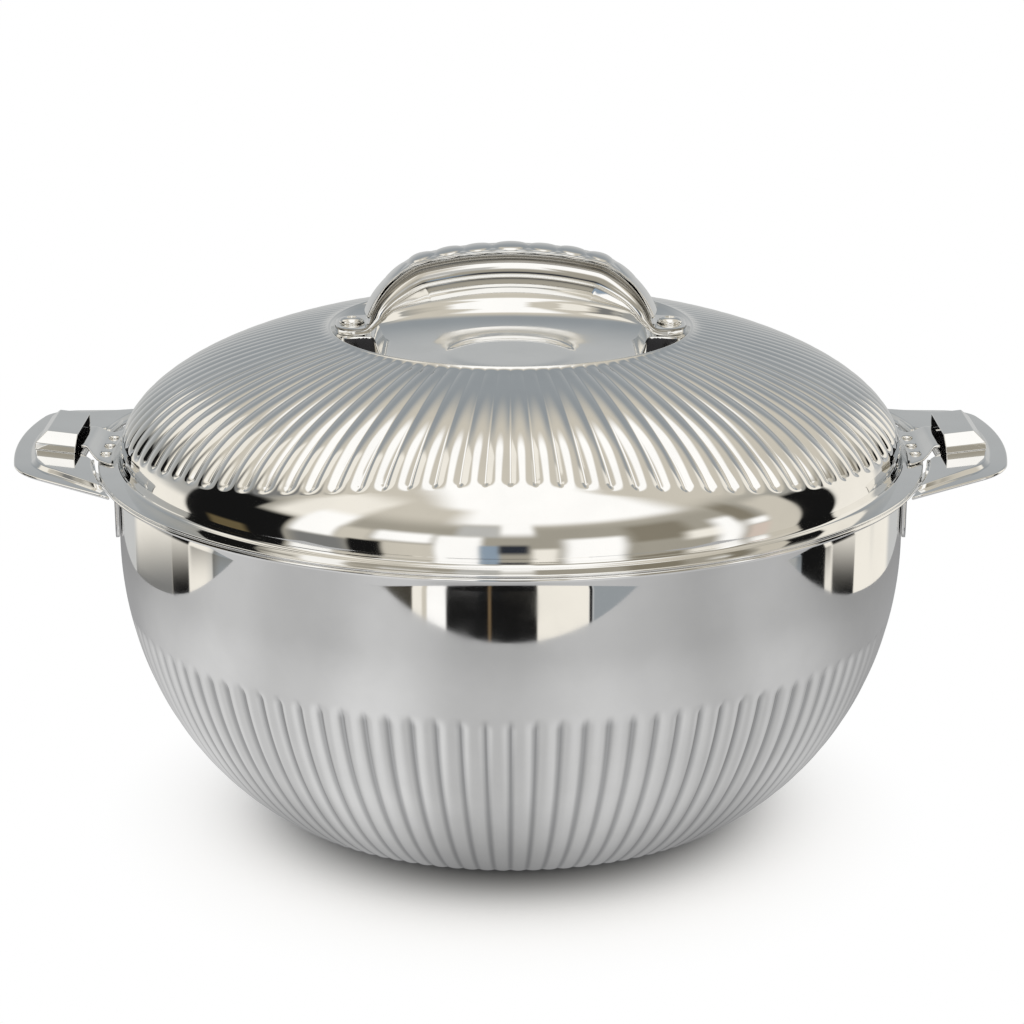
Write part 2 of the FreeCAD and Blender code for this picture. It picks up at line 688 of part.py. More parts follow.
def make_handle(side, name):
    body = new_body(name + "_handle")
    leaning(body)
    border_sketch = sketch_loop(body, name + "_border", "Lean", plate_outline("0", "plate_edge"),
                                lift="border_low")
    padded(body, name + "_plate", border_sketch, "plate_thick")
    low = sketch_loop(body, name + "_step_low", "Lean", plate_outline("border", "plate_edge + step_back"),
                      lift="border_low + 0.5 * plate_thick")
    high = sketch_loop(body, name + "_step_high", "Lean",
                       plate_outline("(border + step_bevel)", "plate_edge + step_back"), lift="platform_top")
    step = body.newObject("PartDesign::AdditiveLoft", name + "_platform")
    step.Profile = low
    step.Sections = [high]
    step.Ruled = True
    doc.recompute()
    under = sketch_loop(body, name + "_under", "Lean",
                        plate_outline("(border + step_bevel + 0.3)", "rim_radius"), lift="border_low")
    padded(body, name + "_underside", under, "platform_rise", cut=True)
    wallside = "wall_radius + 0.5 * running_gap"
    leg = sketch_loop(body, name + "_leg_profile", "XZ_Plane", [
        ("plate_edge", "platform_top - 0.5 * plate_thick"),
        ("plate_edge", "rim_height - 1.5"),
        (wallside, "rim_height - 8.5"),
        (wallside, "rim_height - leg_depth"),
        (wallside + " + plate_thick", "rim_height - leg_depth"),
        (wallside + " + plate_thick", "rim_height - 9"),
        ("plate_edge + plate_thick", "rim_height - 2"),
        ("plate_edge + plate_thick", "platform_top - 0.5 * plate_thick")])
    turn = body.newObject("PartDesign::Revolution", name + "_legs")
    turn.Profile = leg
    turn.ReferenceAxis = (leg, ["V_Axis"])
    bind(turn, "Angle", "leg_angle")
    turn.Midplane = True
    doc.recompute()
    notch = sketch_loop(body, name + "_notch", "Lean", [
        ("rim_radius - 5", "-(tongue_root_half + 3)"),
        ("notch_reach", "-(tongue_half + 1.5)"),
        ("notch_reach", "tongue_half + 1.5"),
        ("rim_radius - 5", "tongue_root_half + 3")], lift="border_low")
    padded(body, name + "_notch_cut", notch, "plate_thick + platform_rise + 1", cut=True)
    for sign in (1, -1):
        slot = sketch_loop(body, name + "_slot", "Lean", [
            ("keeper_line - lock_travel - slot_gap", "%d * (keeper_half - keeper_sheet - slot_gap)" % sign),
            ("keeper_line + keeper_length + slot_gap", "%d * (keeper_half - keeper_sheet - slot_gap)" % sign),
            ("keeper_line + keeper_length + slot_gap", "%d * (keeper_half + slot_gap)" % sign),
            ("keeper_line - lock_travel - slot_gap", "%d * (keeper_half + slot_gap)" % sign)],
            lift="platform_top - 2 * plate_thick")
        padded(body, name + "_slot_cut", slot, "3 * plate_thick", cut=True)
    window = sketch_loop(body, name + "_window", "YZ_Plane", [
        ("-(leg_window)", "rim_height - leg_depth - 1"),
        ("leg_window", "rim_height - leg_depth - 1"),
        ("leg_window", "rim_height - leg_short"),
        ("-(leg_window)", "rim_height - leg_short")])
    padded(body, name + "_leg_window", window, "plate_edge", cut=True)
    placed(body, side)


make_handle(1, "right")
make_handle(-1, "left")


def box_path(x0, x1, half):
    return [(x0, "-(%s)" % half), (x1, "-(%s)" % half), (x1, half), (x0, half)]


def wedge(body, name, kind, x0, x1, half, z0, height, slope):
    """A block with a flat open end at x0 whose other three sides lean in by a slope over its height."""
    block = body.newObject(kind, name)
    for prop, text in (
            ("Xmin", x0), ("Xmax", x1), ("X2min", x0), ("X2max", "%s - (%s)" % (x1, slope)),
            ("Ymin", "0"), ("Ymax", height), ("Zmin", "-(%s)" % half), ("Zmax", half),
            ("Z2min", "-(%s - (%s))" % (half, slope)), ("Z2max", "%s - (%s)" % (half, slope))):
        bind(block, prop, text)
    block.AttachmentSupport = [(plane(body, "Lean"), "")]
    block.MapMode = "FlatFace"
    block.AttachmentOffset = FreeCAD.Placement(Vector(0, 0, 0), FreeCAD.Rotation(Vector(1, 0, 0), 90))
    bind(block, "AttachmentOffset.Base.z", z0)
    doc.recompute()


def make_lock(side, name):
    cap = new_body(name + "_lock_cap")
    leaning(cap)
    seat = "platform_top + slide_gap"
    wedge(cap, name + "_cap_block", "PartDesign::AdditiveWedge", "cap_mouth", "cap_end", "cap_half",
          seat, "(cap_inside + cap_sheet)", "cap_slope")
    wedge(cap, name + "_cap_pocket", "PartDesign::SubtractiveWedge",
          "cap_mouth - 1", "cap_end - 1.1 * cap_sheet", "cap_half - 1.1 * cap_sheet",
          seat, "cap_inside", "cap_slope * cap_inside / (cap_inside + cap_sheet)")
    placed(cap, side)
    keeper = new_body(name + "_lock_keeper")
    leaning(keeper)
    base = "platform_top - plate_thick - slide_gap - keeper_sheet"
    footprint = box_path("keeper_line - 2", "keeper_line + keeper_length + 2", "keeper_half + 2")
    plate = sketch_loop(keeper, name + "_keeper_plate", "Lean", footprint, lift=base)
    padded(keeper, name + "_keeper_base", plate, "keeper_sheet")
    for sign in (1, -1):
        tab = sketch_loop(keeper, name + "_keeper_tab", "Lean", [
            ("keeper_line", "%d * (keeper_half - keeper_sheet)" % sign),
            ("keeper_line + keeper_length", "%d * (keeper_half - keeper_sheet)" % sign),
            ("keeper_line + keeper_length", "%d * keeper_half" % sign),
            ("keeper_line", "%d * keeper_half" % sign)], lift=base + " + 0.5 * keeper_sheet")
        padded(keeper, name + "_keeper_ear", tab,
               "0.5 * keeper_sheet + 2 * slide_gap + plate_thick + cap_inside")
    placed(keeper, side)


make_lock(1, "right")
make_lock(-1, "left")

# ---- The tongues: bent plates riveted to the lid's flange, rising to just before the caps' mouths ----

def make_tongue(side, name):
    body = new_body(name + "_tongue")
    profile = sketch_loop(body, name + "_tongue_profile", "XZ_Plane", [
        ("dome_base + cove_radius", "flange_top"),
        ("rim_radius - 0.4", "flange_top"),
        ("notch_reach - 1", "tongue_rest"),
        ("tongue_tip", "tongue_rest"),
        ("tongue_tip", "tongue_rest + tongue_sheet"),
        ("notch_reach - 1.4", "tongue_rest + tongue_sheet"),
        ("rim_radius - 0.8", "flange_top + tongue_sheet"),
        ("dome_base + cove_radius", "flange_top + tongue_sheet")])
    padded(body, name + "_tongue_plate", profile, "2 * tongue_root_half", middle=True)
    for sign in (1, -1):
        corner = sketch_loop(body, name + "_tongue_side", "XY_Plane", [
            ("rim_radius - 4", "%d * (tongue_root_half + 1)" % sign),
            ("rim_radius - 4", "%d * tongue_root_half" % sign),
            ("notch_reach - 1", "%d * tongue_half" % sign),
            ("tongue_tip + 1", "%d * tongue_half" % sign),
            ("tongue_tip + 1", "%d * (tongue_root_half + 1)" % sign)], lift="rim_height")
        padded(body, name + "_tongue_taper", corner, "20", cut=True)
    holes = body.newObject("Sketcher::SketchObject", name + "_rivet_holes")
    holes.AttachmentSupport = [(plane(body, "XY_Plane"), "")]
    holes.MapMode = "FlatFace"
    bind(holes, "AttachmentOffset.Base.z", "flange_top")
    for index in (-1, 0, 1):
        centre = Vector(value("rivet_line"), index * value("rivet_pitch"), 0)
        row = holes.addGeometry(Part.Circle(centre, Vector(0, 0, 1), value("rivet_radius")))
        for kind, spot, text in (("DistanceX", centre.x, "rivet_line"),
                                 ("DistanceY", centre.y, "%d * rivet_pitch" % index)):
            rule = holes.addConstraint(Sketcher.Constraint(kind, -1, 1, row, 3, spot))
            bind(holes, "Constraints[%d]" % rule, text)
        rule = holes.addConstraint(Sketcher.Constraint("Radius", row, value("rivet_radius")))
        bind(holes, "Constraints[%d]" % rule, "rivet_radius + hole_clearance")
    padded(body, name + "_tongue_holes", holes, "3 * tongue_sheet", cut=True)
    placed(body, side)
    for index in (-1, 0, 1):
        rivet = turned("%s_tongue_rivet_%d" % (name, index + 2), [
            ("0", "rim_height + hole_clearance"),
            ("rivet_radius", "rim_height + hole_clearance"),
            ("rivet_radius", "flange_top + tongue_sheet"),
            ("1.4 * rivet_radius", "flange_top + tongue_sheet"),
            ("0.8 * rivet_radius", "flange_top + tongue_sheet + 0.8 * rivet_radius"),
            ("0", "flange_top + tongue_sheet + 0.8 * rivet_radius"),
        ])
        placed(rivet, side, x="rivet_line", y="%d * rivet_pitch" % index)


make_tongue(1, "right")
make_tongue(-1, "left")

# ---- Check every feature, then write one STEP file for each piece ----

doc.recompute()
for item in doc.Objects:
    if "Invalid" in item.State or "Error" in item.State:
        raise RuntimeError(item.Name + " is in error")
for item in doc.Objects:
    if item.TypeId not in ("PartDesign::Body", "Part::Feature"):
        continue
    if item.Shape.isNull() or not item.Shape.isValid() or len(item.Shape.Solids) != 1:
        raise RuntimeError(item.Label + " isn't one sound solid")
    item.Shape.exportStep(os.path.join("parts", item.Label + ".step"))
    print(item.Label, round(item.Shape.Volume))
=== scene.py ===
# %% [markdown]
# # An insulated serving casserole in polished steel
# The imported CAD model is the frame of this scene: it holds the real sizes and the moving bodies.
# Every piece built here rides on one of those bodies, so the lid still lifts and the two side
# locks still slide. The sizes of pieces are written in millimetres and turned into metres by MM.
# The camera's place and the distances inside shaders are in metres.

import math

import bmesh
import bpy
import numpy as np
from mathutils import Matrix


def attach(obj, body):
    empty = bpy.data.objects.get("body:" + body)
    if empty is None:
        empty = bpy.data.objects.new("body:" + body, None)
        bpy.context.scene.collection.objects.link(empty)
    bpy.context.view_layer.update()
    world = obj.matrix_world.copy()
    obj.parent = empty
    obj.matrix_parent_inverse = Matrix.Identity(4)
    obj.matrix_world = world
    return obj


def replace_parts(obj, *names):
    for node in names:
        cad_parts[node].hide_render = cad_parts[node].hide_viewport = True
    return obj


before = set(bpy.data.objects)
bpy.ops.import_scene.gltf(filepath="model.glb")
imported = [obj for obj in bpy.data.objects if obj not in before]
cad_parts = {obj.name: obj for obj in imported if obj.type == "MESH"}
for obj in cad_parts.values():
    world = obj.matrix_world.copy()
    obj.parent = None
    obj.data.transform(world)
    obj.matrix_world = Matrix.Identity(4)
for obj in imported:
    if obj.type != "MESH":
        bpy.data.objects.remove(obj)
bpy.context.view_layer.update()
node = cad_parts
scene = bpy.context.scene
scene.view_settings.view_transform = "Standard"
MM = 0.001

# %% [markdown]
# ## The camera
# A long lens about a metre away keeps the round pot calm: a short lens would swell its front. The
# camera looks down by about seventeen degrees, which shows the dish in the lid and the full bowl.

# %% Place the camera
LOOK_DOWN = 16.81
lens = bpy.data.cameras.new("product_lens")
lens.sensor_width = 36
lens.lens = 94.92
camera = bpy.data.objects.new("product_camera", lens)
camera.location = (0.0005, -0.9563, 0.3915)
camera.rotation_euler = (math.radians(90 - LOOK_DOWN), 0, 0)
scene.collection.objects.link(camera)
scene.camera = camera
print("camera looks down by", LOOK_DOWN, "degrees")

# %% [markdown]
# ## A small helper for shader nodes
# Polished metal shows only what stands round it, so the room needs care. The helper below adds a
# node, sets its sockets and joins it in one line, which keeps the longer recipes readable.


# %% Write the node helper
class Wires:
    def __init__(self, tree):
        self.tree = tree

    def add(self, kind, settings=None, **sockets):
        made = self.tree.nodes.new("ShaderNode" + kind)
        for name, setting in (settings or {}).items():
            setattr(made, name, setting)
        for name, given in sockets.items():
            key = int(name[1:]) if name[1:].isdigit() else name.replace("_", " ")
            socket = made.inputs[key]
            if isinstance(given, bpy.types.NodeSocket):
                self.tree.links.new(given, socket)
            else:
                socket.default_value = given
        return made

    def math(self, operation, a, b=0.0):
        return self.add("Math", {"operation": operation}, _0=a, _1=b).outputs[0]

    def ramp(self, given, low, high):
        """Rises smoothly from 0 at low to 1 at high."""
        return self.add("MapRange", {"interpolation_type": "SMOOTHSTEP"},
                        _0=given, _1=low, _2=high).outputs[0]

    def mix(self, share, a, b):
        made = self.add("Mix", {"data_type": "RGBA"}, _0=share, _6=a, _7=b)
        return made.outputs[2]


# %% [markdown]
# ## The room that the steel reflects
# A mirror finish has no colour of its own. A studio would stand the pot between cream walls, dark
# doorways, bright windows and a lit ceiling. Cards on stands could do this, but they would stand in
# the way of other views, so the room is painted on the sky by direction: each panel is a patch
# between two bearings and two heights. Bearing 0 is towards the camera and grows to the right.

# %% Find the bearing and the height of a direction
world = bpy.data.worlds.new("studio_room")
world.use_nodes = True
scene.world = world
room = Wires(world.node_tree)
world.node_tree.nodes.clear()
look = room.add("SeparateXYZ", _0=room.add("TexCoord").outputs["Generated"])
height = room.math("DEGREES", room.math("ARCSINE", look.outputs[2]))
to_camera = room.math("MULTIPLY", look.outputs[1], -1.0)
bearing = room.math("DEGREES", room.math("ARCTAN2", look.outputs[0], to_camera))
print("the room is painted by bearing and height")


# %% Write the panel helper
def panel(under, colour, left, right, low, high, soft, rise):
    """A patch between two bearings and two heights: soft and rise blur its upright and level edges."""
    share = room.math("MULTIPLY", room.ramp(bearing, left - soft, left + soft),
                      room.ramp(bearing, right + soft, right - soft))
    share = room.math("MULTIPLY", share, room.ramp(height, low - rise, low + rise))
    share = room.math("MULTIPLY", share, room.ramp(height, high + rise, high - rise))
    return room.mix(share, under, (*colour, 1))


print("a panel is a patch of paint with soft edges")

# %% Mix the paints
CREAM = (0.92, 0.88, 0.80)
WHITE = (1.08, 1.07, 1.05)
BEIGE = (0.37, 0.345, 0.29)
SAND = (0.62, 0.58, 0.50)
SLATE = (0.30, 0.325, 0.345)
HAZE = (0.57, 0.575, 0.57)
GREY = (0.20, 0.20, 0.195)
PALE = (0.51, 0.505, 0.485)
TAN = (0.24, 0.215, 0.165)
ROSE = (0.66, 0.56, 0.49)
BROWN = (0.13, 0.10, 0.05)
UMBER = (0.05, 0.045, 0.035)
WOOD = (0.16, 0.11, 0.06)
SKY = (0.27, 0.34, 0.42)
INK = (0.028, 0.032, 0.042)
BLACK = (0.008, 0.008, 0.008)
print("paints of the room are mixed")

# %% [markdown]
# The far wall behind the pot is slate grey and gets paler near the floor, the near side is beige.
# The ceiling has one long lit strip that runs from front to back.

# %% Paint the walls
side_share = room.ramp(room.math("ABSOLUTE", bearing), 60, 150)
far_wall = room.mix(room.ramp(height, -4, 38), (*HAZE, 1), (*SLATE, 1))
colour = room.mix(side_share, (*BEIGE, 1), far_wall)
colour = panel(colour, SAND, -146, 146, 42, 95, 10, 10)
upper_wall = room.mix(side_share, colour, (*SAND, 1))
colour = room.mix(room.ramp(height, 42, 58), colour, upper_wall)
WALL_PANELS = [
    (WHITE, -18, 60, 43, 95, 7, 5),
    (CREAM, -76, -50, 25, 62, 4, 6),
    (CREAM, -139, -104, 37, 62, 2.5, 3),
    (CREAM, -139, -104, -30, 4, 2.5, 5),
    (CREAM, 104, 128, -30, 44, 2.5, 6),
    (CREAM, 128, 142, -30, -4, 2.5, 4),
    (GREY, -97, -84, 25, 56, 4, 8),
]
for tint, *place in WALL_PANELS:
    colour = panel(colour, tint, *place)
print(len(WALL_PANELS), "wall panels")

# %% Light the ceiling
overhead = room.ramp(room.math("ABSOLUTE", look.outputs[0]), 0.31, 0.16)
overhead = room.math("MULTIPLY", overhead, room.ramp(height, 58, 66))
colour = room.mix(overhead, colour, (*WHITE, 1))
print("ceiling strip painted")

# %% [markdown]
# Dark openings give polished steel its snap. Without them it looks like grey paint. Each line below
# is one window, curtain or doorway: its colour, its two bearings, its two heights and how soft its
# upright and level edges are.

# %% Paint windows and dark openings
PANELS = [
    (WHITE, -64, -50, 3, 40, 2, 5),
    (SAND, -50, -40, 3, 24, 2, 4),
    (WHITE, -39, -22, 9, 25, 2, 4),
    (SAND, -36, -21, -30, 6, 1.5, 3),
    (PALE, -16, -3, 24, 42, 2, 4),
    (WHITE, -21, -8, -30, 24, 1.5, 4),
    (WHITE, -3, 7, 27, 50, 1.5, 7),
    (CREAM, 6, 13, -30, 1, 1.5, 4),
    (WHITE, 15, 32, -30, 18, 2.5, 4),
    (TAN, 34, 52, 4, 32, 3, 4),
    (CREAM, 50, 64, -2, 12, 3, 4),
    (WHITE, 60, 68, -30, 24, 3, 4),
    (TAN, 67, 74, 12, 40, 2, 6),
    (WHITE, 70, 78, 3, 12, 3, 3),
    (ROSE, 70, 84, -30, 2, 2, 2),
    (SAND, 77, 89, -30, 35, 2, 5),
    (BLACK, -104, -80, -30, 34, 1, 3),
    (BLACK, -82, -66, -30, 23, 1, 3),
    (BROWN, -94, -80, -30, -6, 2, 2),
    (GREY, -64, -46, -30, 3, 4, 3),
    (BLACK, -46, -36, -30, 5, 1, 2),
    (SKY, -8.5, -3, -30, 8, 1, 3),
    (INK, -3.2, 5, -7, 9, 1.2, 4),
    (BLACK, 89, 104, -30, 27, 1, 3),
]
for tint, *place in PANELS:
    colour = panel(colour, tint, *place)
print(len(PANELS), "windows and openings")

# %% [markdown]
# Below the table's edge the room goes on: dark floor, pale furniture and the legs of the stand. The
# steel wall shows these low things only where its curve looks past the table.

# %% Paint the low part of the room
FLOOR, TABLE_EDGE, EDGE_BLUR = -90, -17.5, 0.8
LOW = [
    (GREY, -140, -114, 0.5),
    (BLACK, -114, -105, 0.5),
    (CREAM, -105, -94, 0.5),
    (SLATE, -94, -46, 4),
    (UMBER, -46, -27.5, 0.5),
    (CREAM, -27.5, -24.8, 0.3),
    (WHITE, -23.4, -18, 0.3),
    (BLACK, -18, 7.5, 0.4),
    (WOOD, -6.2, -5.4, 0.3),
    (CREAM, 7.7, 22, 0.4),
    (BLACK, 22, 23, 0.3),
    (SLATE, 23, 91, 0.5),
    (BLACK, 91, 101.5, 0.5),
    (CREAM, 101.5, 105, 0.3),
    (BLACK, 105, 117, 0.5),
    (CREAM, 117, 133, 0.5),
]
for tint, left, right, soft in LOW:
    colour = panel(colour, tint, left, right, FLOOR, TABLE_EDGE, soft, EDGE_BLUR)
print(len(LOW), "things below the table's edge")

# %% [markdown]
# The camera itself sees plain white where it looks past the table. Only mirrored and scattered rays
# meet the painted room, so the background stays clean.

# %% Join the room to the world
light_path = room.add("LightPath")
seen = room.add("Background", Color=(1, 1, 1, 1), Strength=1.0)
lit = room.add("Background", Color=colour, Strength=1.0)
both = room.add("MixShader", _0=light_path.outputs["Is Camera Ray"],
                _1=lit.outputs[0], _2=seen.outputs[0])
room.add("OutputWorld", Surface=both.outputs[0])
print("world nodes:", len(world.node_tree.nodes))

# %% [markdown]
# ## The table
# The pot stands on a white table. Its near edge and its two side edges show in the steel wall as a
# dark lens shape, where the room below the table top comes into view, so the table has a real size.
# Its glow carries painted pools of light and painted shade by bearing, and the ribs turn that into pale
# and dark stripes.


# %% Build the table top
def mesh_object(name, points, faces):
    """An object in the scene from points in millimetres and faces that count them."""
    mesh = bpy.data.meshes.new(name)
    mesh.from_pydata((np.array(points, float) * MM).tolist(), [], faces)
    made = bpy.data.objects.new(name, mesh)
    scene.collection.objects.link(made)
    return made


NEAR_HALF, FAR_HALF, NEAR_EDGE, FAR_EDGE = 590, 130, -430, 620
table = mesh_object("table_top", [(-NEAR_HALF, NEAR_EDGE, 0), (NEAR_HALF, NEAR_EDGE, 0),
                                  (FAR_HALF, FAR_EDGE, 0), (-FAR_HALF, FAR_EDGE, 0)], [(0, 1, 2, 3)])
table.location.z = -0.2 * MM
print("table", 2 * NEAR_HALF, "mm wide in front")

# %% [markdown]
# What the steel mirrors of the table is a glow with painted pools of light at several bearings, and
# painted shade makes it darker under the pot's round body, and a little darker again far away.

# %% Paint light and shade on the table by bearing
paint = bpy.data.materials.new("white_table")
paint.use_nodes = True
wires = Wires(paint.node_tree)
paint.node_tree.nodes.clear()
place = wires.add("TexCoord").outputs["Object"]
spot = wires.add("SeparateXYZ", _0=place)
to_camera = wires.math("MULTIPLY", spot.outputs[1], -1.0)
side = wires.math("DEGREES", wires.math("ARCTAN2", spot.outputs[0], to_camera))


def glow(given, share, left, right, soft):
    """Adds share of painted light between two bearings of the table; a negative share paints shade."""
    part = wires.math("MULTIPLY", wires.ramp(side, left - soft, left + soft),
                      wires.ramp(side, right + soft, right - soft))
    return wires.math("ADD", given, wires.math("MULTIPLY", part, share))


# Painted light: the glow is brighter in front and at the bearings listed below.
level = wires.ramp(wires.math("ABSOLUTE", side), 185, 125)
level = wires.math("ADD", wires.math("MULTIPLY", level, 0.22), 0.13)
PAINTED_LIGHT_AND_SHADE = [  # strength, two bearings and how soft their edges are; a negative strength is painted shade
    (0.22, -108, 82, 18),
    (0.10, -84, -62, 8),
    (0.13, -38, -20, 7),
    (-0.07, -14, 6, 6),
    (0.05, 12, 26, 6),
    (-0.09, 38, 54, 8),
]
for share, left, right, soft in PAINTED_LIGHT_AND_SHADE:
    level = glow(level, share, left, right, soft)
# Painted shade: the glow is dimmed under the pot's body and a little far away.
away = wires.add("VectorMath", {"operation": "LENGTH"}, _0=place).outputs["Value"]
painted_shade_under_pot = wires.math("ADD", wires.math("MULTIPLY", wires.ramp(away, 0.065, 0.14), 0.72), 0.23)
painted_far_shade = wires.math("SUBTRACT", 1.0, wires.math("MULTIPLY", wires.ramp(away, 0.22, 0.42), 0.18))
painted_shade_under_pot = wires.math("MULTIPLY", painted_shade_under_pot, painted_far_shade)
level = wires.math("MULTIPLY", level, painted_shade_under_pot)
print("bands of painted light and shade on the table:", len(PAINTED_LIGHT_AND_SHADE))

# %% [markdown]
# The camera sees the same table white, with a soft shadow towards the pot's foot: the real shadow falls
# on its diffuse part, and a painted shadow dims its colour and its glow. The painted shadow's strength
# depends on the distance from a point just in front of the foot's middle.

# %% Paint the table
SHADE_MIDDLE = (0, -0.03, 0)
path = wires.add("LightPath")
white_glow = wires.add("Emission", Color=(1, 1, 1, 1), Strength=1.0)
from_shade = wires.add("VectorMath", {"operation": "DISTANCE"}, _0=place, _1=SHADE_MIDDLE)
from_shade = from_shade.outputs["Value"]
# Painted shadow: the glow and the diffuse colour fall off towards the pot's foot.
painted_shadow_glow = wires.math("MULTIPLY", wires.ramp(from_shade, 0.055, 0.125), 0.45)
painted_shadow_colour = wires.math("MULTIPLY", wires.ramp(from_shade, 0.055, 0.105), 0.62)
painted_shadow_colour = wires.math("ADD", painted_shadow_colour, 0.18)
shaded = wires.add("AddShader", _0=wires.add("BsdfDiffuse", Color=painted_shadow_colour).outputs[0],
                   _1=wires.add("Emission", Color=(1, 1, 1, 1), Strength=painted_shadow_glow).outputs[0])
near_pot = wires.add("MixShader", _0=wires.ramp(from_shade, 0.07, 0.155),
                     _1=shaded.outputs[0], _2=white_glow.outputs[0])
mirrored = wires.add("AddShader", _0=wires.add("BsdfDiffuse", Color=(0.06, 0.06, 0.065, 1)).outputs[0],
                     _1=wires.add("Emission", Color=(0.985, 0.99, 1, 1), Strength=level).outputs[0])
final = wires.add("MixShader", _0=path.outputs["Is Camera Ray"],
                  _1=mirrored.outputs[0], _2=near_pot.outputs[0])
wires.add("OutputMaterial", Surface=final.outputs[0])
table.data.materials.append(paint)
print("table painted")

# %% [markdown]
# ## Finishes
# Polished stainless steel is a metal with almost no roughness. What tells it from a perfect mirror
# is small: the sheet waves by a few microns, and wiping leaves faint cloudy patches. Both come from
# noise in the object's own space, so they stay on the steel when the lid moves.


# %% Write the steel finish
def steel(name, tint=(0.93, 0.925, 0.91), low=0.02, high=0.07, wave=0.02, grain=60.0):
    """Steel whose roughness runs from low to high in patches, with a fine wave in the sheet."""
    made = bpy.data.materials.new(name)
    made.use_nodes = True
    wires = Wires(made.node_tree)
    shader = made.node_tree.nodes["Principled BSDF"]
    shader.inputs["Metallic"].default_value = 1.0
    place = wires.add("TexCoord").outputs["Object"]
    cloud = wires.add("TexNoise", Vector=place, Scale=grain, Detail=3.0).outputs["Fac"]
    rough = wires.add("MapRange", _0=cloud, _1=0.3, _2=0.7, _3=low, _4=high).outputs[0]
    soft = tuple(0.97 * part for part in tint)
    tone = wires.mix(wires.ramp(cloud, 0.35, 0.65), (*tint, 1), (*soft, 1))
    swell = wires.add("TexNoise", Vector=place, Scale=grain * 0.5, Detail=1.0).outputs["Fac"]
    bump = wires.add("Bump", Height=swell, Strength=wave, Distance=MM)
    links = made.node_tree.links
    links.new(tone, shader.inputs["Base Color"])
    links.new(rough, shader.inputs["Roughness"])
    links.new(bump.outputs[0], shader.inputs["Normal"])
    return made


mirror = steel("mirror_steel")
print("finish:", mirror.name)

# %% [markdown]
# The grooves between the ribs of the lower body get painted shade: their colour is pulled towards grey.
# The angle round the pot says where a groove is, so the painted shade fits the 108 ribs that are pressed
# below.

# %% Paint shade into the grooves
RIBS, RIB_TOP = 108, 76.0


def paint_groove_shade(made, count, top, depth):
    """Paints shade into the grooves between count ribs that end below the height top."""
    wires = Wires(made.node_tree)
    shader = made.node_tree.nodes["Principled BSDF"]
    bright = shader.inputs["Base Color"].links[0].from_socket
    spot = wires.add("SeparateXYZ", _0=wires.add("TexCoord").outputs["Object"])
    turn = wires.math("ARCTAN2", spot.outputs[1], spot.outputs[0])
    share = wires.math("FRACT", wires.math("MULTIPLY", turn, count / (2 * math.pi)))
    across = wires.math("ABSOLUTE", wires.math("SUBTRACT", wires.math("MULTIPLY", share, 2.0), 1.0))
    ribbed = wires.ramp(spot.outputs[2], top, top - 6 * MM)
    groove = wires.math("MULTIPLY", wires.ramp(across, 0.5, 1.0), ribbed)
    # Painted shade: depth is how far a groove's colour is pulled towards dark grey.
    tone = wires.mix(wires.math("MULTIPLY", groove, depth), bright, (0.2, 0.205, 0.215, 1))
    made.node_tree.links.new(tone, shader.inputs["Base Color"])


pressed = steel("pressed_steel", high=0.06)
paint_groove_shade(pressed, RIBS, RIB_TOP * MM, 0.55)
print("finish:", pressed.name)

# %% [markdown]
# ## Turned and fluted skins
# Nearly every piece of this pot is spun or pressed from a disc, so its surface is a set of rings.
# The first helper rounds the corners of a profile, so a spun edge never looks cut.


# %% Write the profile helper
def rounded(corners, steps):
    """A path through (x, y, radius) corners, each turned by an arc of its radius."""
    path = []
    for index, (x, y, radius) in enumerate(corners):
        here = np.array((x, y), float)
        if radius == 0:
            path.append(here)
            continue
        before = np.array(corners[index - 1][:2], float) - here
        after = np.array(corners[(index + 1) % len(corners)][:2], float) - here
        long_a, long_b = np.linalg.norm(before), np.linalg.norm(after)
        before, after = before / long_a, after / long_b
        half = math.acos(np.clip(before @ after, -1, 1)) / 2
        reach = min(radius / math.tan(half), 0.49 * long_a, 0.49 * long_b)
        bend = reach * math.tan(half)
        middle = here + (before + after) / np.linalg.norm(before + after) * math.hypot(bend, reach)
        start, end = here + before * reach - middle, here + after * reach - middle
        first = math.atan2(start[1], start[0])
        turn = (math.atan2(end[1], end[0]) - first + math.pi) % (2 * math.pi) - math.pi
        for step in range(steps + 1):
            angle = first + turn * step / steps
            path.append(middle + bend * np.array((math.cos(angle), math.sin(angle))))
    return np.array(path)


def ringed(radius, level, turn):
    """Rings of points from radii and heights at the angles of turn."""
    return np.stack([radius * np.cos(turn), radius * np.sin(turn), level + 0 * turn], -1)


def lathe(path, columns):
    """Rings of points from a profile of (radius, height) pairs turned about the axis."""
    turn = np.linspace(0, 2 * math.pi, columns, endpoint=False)
    return ringed(path[:, 0][:, None], path[:, 1][:, None], turn)


print("a profile can be rounded and turned")

# %% [markdown]
# Every skin is the same kind of mesh: rings of points, joined by four-sided faces. Weighted normals
# keep the flat parts of a small piece flat while its rounded edges stay smooth.


# %% Write the skin helper
def even_out(made):
    """Lets the large faces set the normals, so a rounded edge doesn't bend them."""
    made.modifiers.new("even_normals", "WEIGHTED_NORMAL").keep_sharp = True


